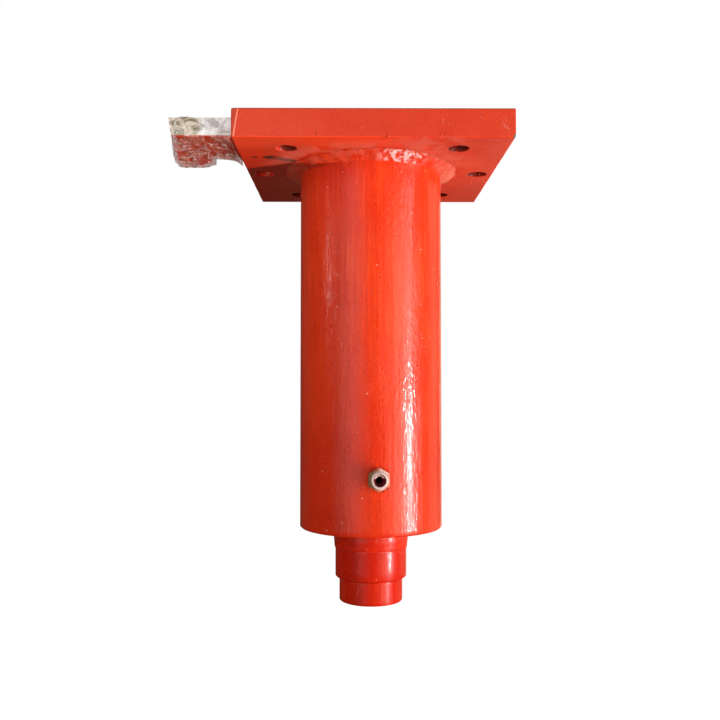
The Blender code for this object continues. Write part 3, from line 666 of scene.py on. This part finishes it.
# The head's and the wiper's enamels are darkened by depth as painted shade.
STAGE_PAINT = enamel("head_enamel", peel=1.6, spots=0.8, runs=1.4, depth=0.62, coat=0.22).material
WIPER_PAINT = enamel("wiper_enamel", peel=2.2, spots=0.9, dull=0.03, depth=0.74, coat=0.35).material
TUBE_PAINT = painted_tube()
HONED = metal("honed_bore", (0.50, 0.50, 0.51), 0.18, 3e-6).material
CHIPPED = metal("chipped_steel", (0.42, 0.40, 0.38), 0.42, stain=(0.22, 0.09, 0.05)).material
MACHINED = metal("turned_steel", (0.56, 0.56, 0.57), 0.28, 8e-6).material
CHROME = metal("hard_chrome", (0.80, 0.81, 0.83), 0.07, 1e-6).material
PORT_ZINC = port_zinc()
PORT_BORE = port_bore()
BLACK_STEEL = metal("blackened_steel", (0.045, 0.045, 0.05), 0.42, metallic=0.9).material
BORE_DARK = metal("oily_bore", (0.20, 0.035, 0.02), 0.4, metallic=0.4).material
HOLE_DARK = hole_enamel()
GUIDE = plastic("guide_ring_fabric", (0.26, 0.15, 0.06), 0.5)
BACK_UP = plastic("back_up_ptfe", (0.74, 0.73, 0.70), 0.4)
RUBBER = rubber("seal_rubber", (0.012, 0.012, 0.013))
FILM = film_plastic()


# Flange plate

def plate_outline(half, step):
    """Points round a square whose edges wander by the little that a flame cut leaves."""
    points = []
    count = round(2 * half / step)
    for sx, sy, along in ((-1, -1, (1, 0)), (1, -1, (0, 1)), (1, 1, (-1, 0)), (-1, 1, (0, -1))):
        for i in range(count):
            t = 2 * half * i / count
            x, y = sx * half + t * along[0], sy * half + t * along[1]
            inward = 0.22 * MM * (1 + rough((x, y, 0), 38.0, 3.1)) * (i > 0)
            points.append((x - inward * along[1], y + inward * along[0]))
    return points


def flange_plate():
    """Flame-cut plate with its bolt holes and drilled gallery, its edges rounded and one corner chipped."""
    mesh = mesh_from(prism(plate_outline(PLATE_HALF, 5 * MM), PLATE_TOP, PLATE_UNDER), "flange_plate_painted")
    plate = add_piece("flange_plate_painted", mesh, "barrel", ["flange_plate"],
                      [FLANGE_PAINT, CHIPPED, BORE_DARK, HOLE_DARK])
    deep = PLATE_TOP - PLATE_UNDER
    holes = [rod_tool(BOLT_RADIUS, 2 * deep, (x, y, PLATE_TOP + 0.5 * deep), (0, 0, -1), 56, 3)
             for x, y in BOLTS]
    y, z = GALLERY
    start = (-PLATE_HALF - 5 * MM, y, z)
    holes.append(rod_tool(GALLERY_RADIUS, PLATE_HALF - 5 * MM, start, (1, 0, 0), 24, 2))
    holes.append(rod_tool(0.9 * GALLERY_RADIUS, deep, (-15 * MM, y, z), (0, 0, -1), 24, 2))
    combine(plate, *holes)
    dress_edge(plate.data)
    edges = plate.modifiers.new("edges", "BEVEL")
    edges.width = 1.3 * MM
    edges.segments = 3
    edges.limit_method = "ANGLE"
    edges.angle_limit = math.radians(40)
    edges.use_clamp_overlap = False
    apply_modifiers(plate)
    chip_corner(plate.data, Vector((PLATE_HALF, -PLATE_HALF, PLATE_UNDER)), Vector((0.75, -0.5, -0.62)),
                2.6 * MM)
    smooth(plate.data, 28)
    largest_rounded = 60e-6  # square metres; a larger face is one of the plate's flat ones
    for polygon in plate.data.polygons:
        polygon.use_smooth = abs(polygon.normal.z) < 0.999 and polygon.area < largest_rounded


def slice_off(mesh, point, out, material_index):
    """Takes away what lies beyond a plane, and closes the cut."""
    work = bmesh.new()
    work.from_mesh(mesh)
    geometry = work.verts[:] + work.edges[:] + work.faces[:]
    cut = bmesh.ops.bisect_plane(work, geom=geometry, plane_co=point, plane_no=out, clear_outer=True)
    rim = [item for item in cut["geom_cut"] if isinstance(item, bmesh.types.BMEdge)]
    filled = bmesh.ops.contextual_create(work, geom=rim)
    for face in filled["faces"]:
        face.material_index = material_index
    work.to_mesh(mesh)
    work.free()


def chip_corner(mesh, corner, out, depth):
    """Knocks a corner off, down to bare steel."""
    out = out.normalized()
    slice_off(mesh, corner - depth * out, out, 1)


def dress_edge(mesh):
    """The upright edge at the left of the plate's front was ground off, more at its top than at its foot."""
    top = Vector((-133.0 * MM, -PLATE_HALF, PLATE_TOP))
    bottom = Vector((-137.6 * MM, -PLATE_HALF, PLATE_UNDER))
    back = Vector((-PLATE_HALF, -138.6 * MM, PLATE_TOP))
    out = (bottom - top).cross(back - top).normalized()
    if out.x > 0:
        out.negate()
    slice_off(mesh, top, out, 0)


# Barrel

def barrel_shift(point, radius):
    if radius < BARREL_RADIUS - 2 * MM:
        return 0
    return 0.07 * MM * rough(point, 13.0, 5.0) + 0.03 * MM * rough(point, 55.0, 9.0) - 0.08 * MM


def eased_edge(radius, end, chamfer, run, nip):
    """Points of a chamfer with softened corners, from an outer side round to the face at its lower end."""
    return [(radius, end + chamfer + run), (radius - nip, end + chamfer), (radius - chamfer, end + nip),
            (radius - chamfer - run, end)]


def barrel():
    outline = [
        (BARREL_RADIUS, BARREL_TOP),
        *eased_edge(BARREL_RADIUS, BARREL_END, 1.5 * MM, 0.4 * MM, 0.15 * MM),
        (BARREL_BORE + 0.5 * MM, BARREL_END),
        (BARREL_BORE, BARREL_END + 0.5 * MM),
        (BARREL_BORE, BARREL_TOP),
    ]
    tube = turned("barrel_tube_painted", outline, 256, "barrel", ["barrel_tube"],
                  [BARREL_PAINT, HONED], shift=barrel_shift, step=5 * MM)
    for polygon in tube.data.polygons:
        if polygon.center.xy.length < BARREL_BORE + 0.2 * MM:
            polygon.material_index = 1
    port = Vector((0, 0, PORT_HEIGHT))
    inside = 55 * MM  # where the holes' cutters start
    seat = rod_tool(SPOT_FACE_RADIUS, 20 * MM, PORT_OUT * PORT_SEAT + port, PORT_OUT, 72)
    hole = rod_tool(7.3 * MM, 40 * MM, PORT_OUT * inside + port, PORT_OUT, 48)
    screw = rod_tool(4.3 * MM, 40 * MM, (0, inside, LOCK_HEIGHT), (0, 1, 0), 32)
    combine(tube, seat, hole, screw)


def bead(name, slices, section, closed_round, node):
    """A weld bead: a strip of sections, each a closed loop of points, joined one to the next."""
    steps = slices if closed_round else slices - 1
    verts, faces = [], []
    for i in range(slices):
        points = section(i / steps)
        verts += points
    count = len(points)
    for i in range(steps):
        j = (i + 1) % slices
        for k in range(count):
            m = (k + 1) % count
            faces.append((i * count + k, i * count + m, j * count + m, j * count + k))
    if not closed_round:
        faces.append(tuple(range(count))[::-1])
        faces.append(tuple((slices - 1) * count + k for k in range(count)))
    mesh = bpy.data.meshes.new(name)
    mesh.from_pydata(verts, [], faces)
    face_outward(mesh)
    smooth(mesh, 55)
    add_piece(name, mesh, "barrel", [node], [WELD_PAINT])


def ripple(along, across, pitch, seed):
    """Height of a weld's overlapping crescents, from 0 to 1. along is in metres, across from 0 to 1."""
    lean = 0.9 * pitch * (across - 0.5) + 1.5 * pitch * (across - 0.5) ** 2 * 4
    saw = (along + lean + 0.8 * MM * rough((along, 0, 0), 90.0, seed)) / pitch % 1.0
    crest = 0.82
    return saw ** 1.4 if saw < crest else crest ** 1.4 * (1 - saw) / 0.18


def barrel_weld_section(t):
    """One slice of the fillet weld round the barrel's top. Its toes wander, and paint has filled most of its
    ripples: they stay sharp only where it was finished, to the right of the front."""
    angle = TAU * t
    around = 91 * MM * angle
    c, s = math.cos(angle), math.sin(angle)
    spot = (c, s, 0)
    inner = BARREL_RADIUS - 0.1 * MM
    front = math.exp(-((angle - math.radians(278)) / math.radians(42)) ** 2)
    leg = ((19.8 + 6.5 * front) * MM + 1.5 * MM * (rough(spot, 7.0, 2.0) - 1)
           + 1.0 * MM * (rough(spot, 26.0, 4.0) - 1))
    drop = 7.0 * MM + 0.7 * MM * (rough(spot, 9.0, 6.0) - 1) + 0.5 * MM * (rough(spot, 30.0, 8.0) - 1)
    rows = 18
    finish = math.radians(291)
    crisp = math.exp(-((angle - finish) / math.radians(13)) ** 4)
    points = [(inner * c, inner * s, BARREL_TOP)]
    for k in range(rows + 1):
        u = k / rows
        window = math.sin(math.pi * u) ** 1.1
        crescents = (0.03 + 1.30 * crisp) * MM * ripple(around, u, 5.2 * MM, 2.0)
        crescents *= 0.7 + 0.7 * rough(spot, 33.0, 3.0)
        lumps = 0.40 * MM * rough((c, s, 0.6 * u), 11.0, 7.0) + 0.10 * MM * rough((c, s, u), 40.0, 9.0)
        bulge = window * (0.8 * MM + crescents + lumps)
        r = inner + leg * (1 - u) + 0.40 * bulge
        z = BARREL_TOP - drop * u ** 1.45 - 0.80 * bulge
        points.append((r * c, r * s, min(z, BARREL_TOP)))
    return points


def block_weld_section(t):
    """One slice of the corner weld under the extend port's block."""
    lo, hi = low("extend_port_weld"), high("extend_port_weld")
    y = lo.y + t * (hi.y - lo.y)
    ease = min(1, 9 * t, 9 * (1 - t)) ** 0.5
    leg = (hi.x - lo.x) * (0.86 + 0.12 * rough((0, y, 0), 60.0, 2.0)) * (0.45 + 0.55 * ease)
    points = [(hi.x, y, hi.z)]
    rows = 9
    for k in range(rows + 1):
        u = k / rows
        window = math.sin(math.pi * u) ** 0.7
        bulge = window * (0.35 * MM + 0.55 * MM * ripple(y + 1, u, 4.6 * MM, 5.0)) * ease
        points.append((hi.x - leg * (1 - u) - 0.5 * bulge, y, hi.z - leg * u - 0.6 * bulge))
    return points


def weld_spatter():
    """Drops of weld metal stuck to the plate and the barrel, under the paint."""
    random.seed(11)
    work = bmesh.new()
    drops = []
    for _ in range(64):
        angle = random.uniform(0, TAU)
        reach = (103 + 22 * random.random() ** 2.2) * MM
        drops.append((reach * math.cos(angle), reach * math.sin(angle), PLATE_UNDER,
                      (0.35 + 0.75 * random.random() ** 2) * MM))
    for _ in range(46):
        angle = random.uniform(0, TAU)
        down = (41 + 26 * random.random() ** 1.8) * MM
        drops.append((BARREL_RADIUS * math.cos(angle), BARREL_RADIUS * math.sin(angle), -down,
                      (0.3 + 0.6 * random.random() ** 2) * MM))
    drops.append((14 * MM, -PLATE_HALF + 0.5 * MM, PLATE_UNDER + 0.4 * MM, 1.3 * MM))
    for x, y, z, radius in drops:
        made = bmesh.ops.create_icosphere(work, subdivisions=2, radius=radius)
        for vert in made["verts"]:
            vert.co *= 1 + 0.16 * rough(vert.co + Vector((x, y, z)) * 40, 900.0, 1.0)
            if z == PLATE_UNDER:
                vert.co.z *= 0.7
        bmesh.ops.translate(work, verts=made["verts"], vec=(x, y, z))
    mesh = mesh_from(work, "weld_spatter")
    smooth(mesh, 60)
    add_piece("weld_spatter", mesh, "barrel", (), [WELD_PAINT])


# Fitting in the retract port

def on_port(thing):
    """Turns a piece made about Z, with heights measured from the barrel's axis, onto the port's axis."""
    turn = PORT_OUT.to_track_quat("Z", "Y").to_matrix().to_4x4()
    thing.data.transform(Matrix.Translation((0, 0, PORT_HEIGHT)) @ turn)


def port_fitting():
    """Bonded washer, and an adapter with a hexagon, a threaded stub and a bore that narrows to a passage."""
    seat = PORT_SEAT + GAP
    washer = [(11 * MM, seat + 1.4 * MM), (11.1 * MM, seat + 0.9 * MM), (11 * MM, seat), (7.3 * MM, seat),
              (7.3 * MM, seat + 1.5 * MM), (8.6 * MM, seat + 1.5 * MM), (8.8 * MM, seat + 1.2 * MM),
              (9.6 * MM, seat + 1.2 * MM), (9.8 * MM, seat + 1.5 * MM), (10.8 * MM, seat + 1.5 * MM)]
    ring = turned("retract_port_bonded_washer", washer, 72, "barrel", ["retract_port_washer"],
                  [BLACK_STEEL])
    on_port(ring)

    hex_start = seat + 1.8 * MM
    hex_end = hex_start + 7 * MM
    corner = PORT_HEX / math.sqrt(3)
    lathe = [(0, hex_end), (PORT_HEX / 2 - 0.9 * MM, hex_end), (corner + 0.6 * MM, hex_end - 2.4 * MM),
             (corner + 0.6 * MM, hex_start + 0.9 * MM), (PORT_HEX / 2 + 0.2 * MM, hex_start), (0, hex_start)]
    body = turned("retract_port_fitting", lathe, 96, "barrel", ["retract_port_adapter"],
                  [PORT_ZINC, PORT_BORE], closed=False)
    work = bmesh.new()
    bmesh.ops.create_cone(work, cap_ends=True, segments=6, radius1=corner, radius2=corner, depth=30 * MM)
    nut = tool(mesh_from(work, "hexagon"), (0, 0, hex_start), (0, 0, 1))
    combine(body, nut, operation="INTERSECT")

    crest, root, pitch = 8.85 * MM, 8.15 * MM, 1.25 * MM
    stub = [(0, PORT_TIP), (8.1 * MM, PORT_TIP), (8.35 * MM, PORT_TIP - 0.12 * MM),
            (crest, PORT_TIP - 0.7 * MM)]
    height = PORT_TIP - 1.3 * MM
    while height > hex_end + 1.6 * MM:
        stub += [(crest, height), (root, height - 0.45 * MM), (crest, height - 0.9 * MM)]
        height -= pitch
    stub += [(root, hex_end + 0.5 * MM), (root, hex_start + 0.5 * MM), (7 * MM, hex_start + 0.5 * MM),
             (7 * MM, BARREL_BORE + 1.2 * MM), (6.2 * MM, BARREL_BORE + GAP), (0, BARREL_BORE + GAP)]
    combine(body, put_in_scene("shank", turned_mesh("shank", stub, 96, False)), operation="UNION")

    inside = [(0, PORT_TIP + 5 * MM), (6.9 * MM, PORT_TIP + 5 * MM), (6.9 * MM, PORT_TIP + 0.1 * MM),
              (6.55 * MM, PORT_TIP - 0.35 * MM), (6.5 * MM, PORT_TIP - 0.8 * MM),
              (4.1 * MM, PORT_TIP - 5.0 * MM),
              (4.0 * MM, PORT_TIP - 8.5 * MM), (3.7 * MM, PORT_TIP - 9.5 * MM),
              (3.7 * MM, BARREL_BORE - 4 * MM), (0, BARREL_BORE - 4 * MM)]
    drill_mesh = turned_mesh("bore", inside, 72, False)
    for polygon in drill_mesh.polygons:
        polygon.material_index = 1 if polygon.center.z < PORT_TIP - 0.9 * MM else 0
    combine(body, put_in_scene("bore", drill_mesh))
    on_port(body)
    smooth(body.data, 26)


# Bottom of the barrel and the two stages

def lower_rings():
    """The gland's lock ring with its four pin holes, and the wiper's foot and skirt."""
    top = high("barrel_gland_lock_ring").z
    end = low("barrel_gland_lock_ring").z
    outer = high("barrel_gland_lock_ring").x
    inner = 45.3 * MM
    chamfer = 0.6 * MM
    outline = [(outer, top), (outer, end + chamfer), (outer - chamfer, end), (inner + chamfer, end),
               (inner, end + chamfer), (inner, top)]
    lock = turned("lock_ring_painted", outline, 160, "barrel", ["barrel_gland_lock_ring"],
                  [BARREL_PAINT])
    pins = 55 * MM  # radius of the ring of pin holes
    for i in range(4):
        angle = math.pi / 4 + math.pi / 2 * i
        start = (pins * math.cos(angle), pins * math.sin(angle), BARREL_END + 7 * MM)
        combine(lock, rod_tool(3 * MM, 10 * MM, start, (0, 0, -1), 32))

    foot_top = high("barrel_wiper").z
    foot = high("barrel_wiper").x
    skirt = 41.8 * MM
    bore = TUBE_RADIUS + GAP
    outline = [
        (foot, foot_top),
        (foot, end + 0.4 * MM),
        (foot - 0.4 * MM, end),
        (skirt + 1.0 * MM, end),
        (skirt + 0.3 * MM, end - 0.3 * MM),
        (skirt, end - 1.0 * MM),
        (skirt, -443.7 * MM),
        (skirt - 0.12 * MM, -444.3 * MM),
        (40.95 * MM, WIPER_END + 0.45 * MM),
        (40.75 * MM, WIPER_END + 0.1 * MM),
        (40.6 * MM, WIPER_END),
        (bore, WIPER_END),
        (bore, foot_top),
    ]
    turned("barrel_wiper_painted", outline, 160, "barrel", ["barrel_wiper"], [WIPER_PAINT],
           step=3 * MM, shift=lambda p, r: 0.05 * MM * rough(p, 45.0, 2.0) if r > bore + 0.2 * MM else 0)


def stage1_tube():
    """Tube with its snap ring's groove, and two drilled passages with a cross hole at each end."""
    groove_top, groove_end, groove = -476.5 * MM, -480.1 * MM, 32 * MM
    outline = [
        (TUBE_RADIUS, TUBE_TOP),
        *eased_edge(TUBE_RADIUS, TUBE_END, 1 * MM, 0.25 * MM, 0.1 * MM),
        (TUBE_BORE, TUBE_END),
        (TUBE_BORE, groove_end),
        (groove, groove_end),
        (groove, groove_top),
        (TUBE_BORE, groove_top),
        (TUBE_BORE, TUBE_TOP),
    ]
    tube = turned("stage1_tube_ground", outline, 160, "stage1", ["stage1_tube"], [TUBE_PAINT],
                  step=9 * MM)
    wall = (TUBE_RADIUS + TUBE_BORE) / 2
    top, end = -90 * MM, -448.4 * MM
    drill, across, inset = 2 * MM, 7 * MM, 2.5 * MM
    for side in (-1, 1):
        combine(tube, rod_tool(drill, top - end, (side * wall, 0, top), (0, 0, -1), 16),
                rod_tool(drill, across, (side * wall, 0, top - inset), (side, 0, 0), 16),
                rod_tool(drill, across, (side * wall, 0, end + inset), (-side, 0, 0), 16))


def stage2():
    """Chromed rod with a spigot for its piston and a foot in the painted head."""
    rod = high("stage2_rod").x
    spigot, foot = 15 * MM, 17.5 * MM
    piston_end = -84 * MM
    rod_end = low("stage2_rod").z
    outline = [
        (0, TUBE_TOP),
        (spigot - 1.5 * MM, TUBE_TOP),
        (spigot, TUBE_TOP - 1.5 * MM),
        (spigot, piston_end),
        (rod - 0.6 * MM, piston_end),
        (rod, piston_end - 0.6 * MM),
        (rod, TUBE_END),
        (foot, TUBE_END),
        (foot, rod_end + 1.5 * MM),
        (foot - 1.5 * MM, rod_end),
        (0, rod_end),
    ]
    turned("stage2_rod_chromed", outline, 128, "stage2", ["stage2_rod"], [CHROME],
           closed=False, step=12 * MM)

    top = high("stage2_head").z
    floor = rod_end - GAP
    bore = foot + GAP
    edge = 0.9 * MM
    outline = [
        (0, floor),
        (bore, floor),
        (bore, top),
        (HEAD_RADIUS - edge - 0.2 * MM, top),
        (HEAD_RADIUS - edge, top - 0.1 * MM),
        (HEAD_RADIUS - 0.1 * MM, top - edge),
        (HEAD_RADIUS, top - edge - 0.25 * MM),
        *eased_edge(HEAD_RADIUS, HEAD_END, edge, 0.25 * MM, 0.1 * MM),
        (0, HEAD_END),
    ]
    points = densify(outline, 3 * MM, False)
    mesh = turned_mesh("stage2_head_painted", points, 160, False,
                       lambda p, r: 0.05 * MM * (rough(p, 40.0, 4.0) - 1) if r > 33.9 * MM else 0)
    face_outward(mesh)
    smooth(mesh)
    head = add_piece("stage2_head_painted", mesh, "stage2", ["stage2_head"], [STAGE_PAINT])
    combine(head, rod_tool(3.3 * MM, 30 * MM, (0, 17 * MM, HEAD_LOCK_HEIGHT), (0, 1, 0), 32))


def set_screw(name, node, body, radius, material):
    """A headless screw with a hexagon socket, seen from behind."""
    outer, inner = high(node).y, low(node).y
    height = (high(node).z + low(node).z) / 2
    depth = outer - inner
    chamfer = 0.12 * radius
    outline = [(0, depth), (radius - chamfer, depth), (radius, depth - chamfer), (radius, chamfer),
               (radius - chamfer, 0), (0, 0)]
    screw = turned(name, outline, 48, body, [node], [material], closed=False)
    socket = rod_tool(0.58 * radius, depth, (0, 0, 0.6 * depth), (0, 0, 1), 6)
    combine(screw, socket)
    turn = Vector((0, 1, 0)).to_track_quat("Z", "X").to_matrix().to_4x4()
    screw.data.transform(Matrix.Translation((0, inner, height)) @ turn)


# Film round the extend port's block

FILM_STEP = 1.4 * MM
FILM_SKIN = 0.4 * MM
FILM_ROOM = 0.7 * MM  # how far the film can be pressed in before it meets the block


def diced(work, step):
    """Cuts a mesh along planes a step apart, across each axis."""
    work.verts.ensure_lookup_table()
    for axis in range(3):
        least = min(vert.co[axis] for vert in work.verts)
        most = max(vert.co[axis] for vert in work.verts)
        count = round((most - least) / step)
        normal = Vector([float(axis == k) for k in range(3)])
        for i in range(1, count):
            bmesh.ops.bisect_plane(work, geom=work.verts[:] + work.edges[:] + work.faces[:],
                                   plane_co=normal * (least + (most - least) * i / count), plane_no=normal)


def creased(point):
    """Height of the film's folds at a point: long ridges that run aslant, with small ones between them."""
    x, y, z = point[0], 0.45 * point[1], point[2]
    aslant = (0.8 * x + 0.6 * y, 1.7 * (0.8 * y - 0.6 * x), 1.2 * z)
    long_folds = 0.42 - 1.5 * abs(rough(aslant, 62.0, 12.0))
    short_folds = 0.40 - 1.5 * abs(rough((x, 1.3 * y, 1.5 * z), 175.0, 5.0))
    return 1.25 * MM * long_folds + 0.55 * MM * short_folds


def film():
    """A sleeve of stretch film that bridges from the block's corners to its plug, open towards the plate."""
    lo, hi = low("protective_film"), high("protective_film")
    work = prism([(x * MM, y * MM) for x, y in FILM_PLAN], lo.z, hi.z)
    open_end = [f for f in work.faces if f.normal.x > 0.99 and f.calc_center_median().x > hi.x - 1 * MM]
    bmesh.ops.delete(work, geom=open_end, context="FACES")
    bmesh.ops.triangulate(work, faces=work.faces)
    diced(work, FILM_STEP)
    bmesh.ops.triangulate(work, faces=work.faces)
    work.normal_update()
    places = []
    for vert in work.verts:
        p = vert.co.copy()
        down = (hi.z - p.z) / (hi.z - lo.z)
        forward = max(0.0, min(1.0, (-50 * MM - p.y) / (60 * MM)))
        tuck = 4.2 * MM * down * forward * max(0.0, min(1.0, (-196 * MM - p.x) / (8 * MM)))
        fold = max(creased(p), -FILM_ROOM * (0.3 if tuck > 1 * MM else 1.0))
        end = max(0.0, min(1.0, (p.x + 156 * MM) / (7 * MM)))
        q = p + vert.normal * fold * (1 - 0.6 * end)
        q.x += tuck
        q.x += 6.6 * MM * end
        if p.z < hi.z - 1e-6:
            q.z -= 6.6 * MM * end * end * down
        q.x -= end * (1.6 * MM * max(0, rough(p, 55.0, 8.0)) + 0.8 * MM * abs(rough(p, 240.0, 3.0)))
        places.append(q)
    for vert, q in zip(work.verts, places):
        vert.co = q
    wrap = put_in_scene("film_wrap", mesh_from(work, "film_wrap"))
    solid = wrap.modifiers.new("skin", "SOLIDIFY")
    solid.thickness = FILM_SKIN
    solid.offset = -1
    apply_modifiers(wrap)
    wrap.data.materials.append(FILM)
    smooth(wrap.data, 55)
    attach(wrap, "barrel")
    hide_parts("protective_film")


flange_plate()
barrel()
bead("barrel_weld_bead", 1440, barrel_weld_section, True, "barrel_weld")
bead("extend_port_weld_bead", 260, block_weld_section, False, "extend_port_weld")
weld_spatter()
port_fitting()
lower_rings()
stage1_tube()
stage2()
set_screw("lock_screw_painted", "barrel_gland_lock_screw", "barrel", 4 * MM, BARREL_PAINT)
set_screw("head_lock_screw_painted", "stage2_head_lock_screw", "stage2", 3 * MM, STAGE_PAINT)
film()

PISTONS = ("stage1_piston", "stage2_piston")
NODE_FINISHES = [
    (BARREL_PAINT, ["extend_port_block", "extend_port_plug"]),
    (MACHINED, ["barrel_gland", "stage1_piston", "stage1_gland", "stage2_piston", "stage2_piston_nut"]),
    (GUIDE, ["stage1_gland_guide"]),
    (GUIDE, [f"{part}_guide_{end}" for part in ("barrel_gland", *PISTONS) for end in ("upper", "lower")]),
    (RUBBER, ["barrel_gland_rod_seal", "stage1_gland_rod_seal", "stage1_gland_wiper"]),
    (RUBBER, [f"{part}_seal" for part in PISTONS]),
    (RUBBER, [f"{part}_o_ring" for part in ("barrel_gland", "stage1_gland", *PISTONS)]),
    (BACK_UP, ["barrel_gland_back_up_ring"]),
    (BLACK_STEEL, ["stage1_piston_lock_screw", "stage1_gland_snap_ring"]),
]
for finish, nodes in NODE_FINISHES:
    for node in nodes:
        for material_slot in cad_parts[node].material_slots:
            material_slot.material = finish


# Studio

LAMP_DISTANCE = 2.0
WARM = (1.0, 0.80, 0.50)
GLOW = (1.0, 0.87, 0.66)


def lamp(name, azimuth, width, bottom, top, radiance, glossy=True, tint=(1, 1, 1), diffuse=True):
    """An upright panel that faces the axis. The azimuth is measured from -Y towards +X, in degrees.
    A lamp may be left out of reflections or of diffuse light."""
    light = bpy.data.lights.new(name, "AREA")
    light.shape = "RECTANGLE"
    light.size = width
    light.size_y = top - bottom
    light.energy = radiance * math.pi * width * (top - bottom)
    light.color = tint
    made = put_in_scene(name, light)
    turn = math.radians(azimuth)
    out = Vector((math.sin(turn), -math.cos(turn), 0))
    made.location = out * LAMP_DISTANCE + Vector((0, 0, (bottom + top) / 2))
    made.rotation_euler = (-out).to_track_quat("-Z", "Y").to_euler()
    made.visible_camera = False
    made.visible_glossy = glossy
    made.visible_diffuse = diffuse
    return made


def studio():
    lamp("key", 63, 0.12, -0.60, -0.27, 105.0)
    lamp("key_rise", 63, 0.22, -0.27, 0.02, 4.5)
    lamp("key_upper", 62, 0.32, 0.02, 0.60, 2.6)
    lamp("key_soft", 63, 0.12, -0.27, -0.05, 70.0, glossy=False)
    lamp("key_upper_soft", 60, 0.3, 0.0, 0.9, 3.0, glossy=False)
    lamp("key_fall", 63, 0.22, -0.80, -0.60, 9.0)
    lamp("key_low", 63, 0.09, -2.2, -0.80, 10.5)
    lamp("neck_spot", 63, 0.26, -0.852, -0.832, 650.0, diffuse=False)
    lamp("key_low_soft", 63, 0.12, -2.2, -0.60, 118.0, glossy=False)
    lamp("fill_left", -30, 1.28, -1.2, 0.6, 0.06, tint=WARM)
    lamp("fill_left_soft", -31, 1.28, -1.0, 0.9, 3.9, glossy=False)
    lamp("fill_front_right", 38, 1.6, -1.2, 0.6, 0.22, tint=WARM, glossy=False)
    lamp("key_glow", 46, 0.86, -1.2, 0.35, 1.1, tint=GLOW, diffuse=False)
    lamp("wide_glow", 37, 1.5, -1.2, 0.35, 0.8, tint=GLOW, diffuse=False)
    lamp("right_card", 118, 1.0, -1.2, 0.8, 0.5, tint=GLOW, diffuse=False)
    lamp("left_strip", -69.0, 0.02, -0.03, 0.30, 42.0, diffuse=False)
    lamp("left_card", -79, 0.8, -1.2, 0.6, 0.02)
    lamp("rear_right", 157, 0.6, -1.2, 0.8, 0.8, tint=GLOW)
    lamp("rear_haze", 176, 0.7, -1.2, -0.1, 0.1, tint=WARM)
    lamp("rear_right_soft", 150, 1.4, -1.0, 0.8, 1.6, glossy=False)
    lamp("rear_left_soft", -140, 1.4, -1.0, 0.8, 1.0, glossy=False)
    ceiling = lamp("overhead", 0, 2.0, -1.0, 1.0, 0.5)
    ceiling.location = (0, 0, 1.6)
    ceiling.rotation_euler = (0, 0, 0)


def room():
    """White to the camera, and a faint warm room to the object."""
    world = bpy.data.worlds.new("studio")
    bpy.context.scene.world = world
    world.use_nodes = True
    world.node_tree.nodes.clear()
    w = Nodes(world.node_tree)
    axes = w.node("ShaderNodeSeparateXYZ", {0: w.node("ShaderNodeTexCoord").outputs["Generated"]})
    strength = w.node("ShaderNodeMapRange", {"Value": axes.outputs[2], "From Min": -0.25, "From Max": 0.05,
                                             "To Min": 0.04, "To Max": 0.05})
    warm = w.node("ShaderNodeBackground", {"Color": (1.0, 0.75, 0.5), "Strength": strength.outputs[0]})
    white = w.node("ShaderNodeBackground", {"Color": (1, 1, 1)})
    seen = w.node("ShaderNodeLightPath").outputs["Is Camera Ray"]
    mixed = w.node("ShaderNodeMixShader", {0: seen, 1: warm.outputs[0], 2: white.outputs[0]})
    w.node("ShaderNodeOutputWorld", {"Surface": mixed.outputs[0]})


def pale_floor():
    floor_mesh = bpy.data.meshes.new("floor")
    reach, height = 14.0, -2.3
    corners = [(x * reach, y * reach, height) for x, y in ((-1, -1), (1, -1), (1, 1), (-1, 1))]
    floor_mesh.from_pydata(corners, [], [(0, 1, 2, 3)])
    floor = put_in_scene("floor", floor_mesh)
    pale = Finish("pale_floor")
    pale.set(Base_Color=(0.9, 0.9, 0.9), Roughness=0.9, Emission_Color=(1, 1, 1), Emission_Strength=1.0)
    floor_mesh.materials.append(pale.material)
    floor.visible_diffuse = False
    floor.visible_glossy = False


def camera():
    """Where the photo was taken from, worked out from the plate's corners and the barrel's rims."""
    view = bpy.data.cameras.new("camera")
    view.lens = 40.776
    view.sensor_width = 36
    view.clip_end = 60
    made = put_in_scene("camera", view)
    made.location = (-0.0188, -0.9293, -0.2755)
    made.rotation_euler = (math.radians(92.0378), 0, math.radians(-0.4024))
    bpy.context.scene.camera = made
    bpy.context.scene.view_settings.view_transform = "Standard"


studio()
room()
pale_floor()
camera()
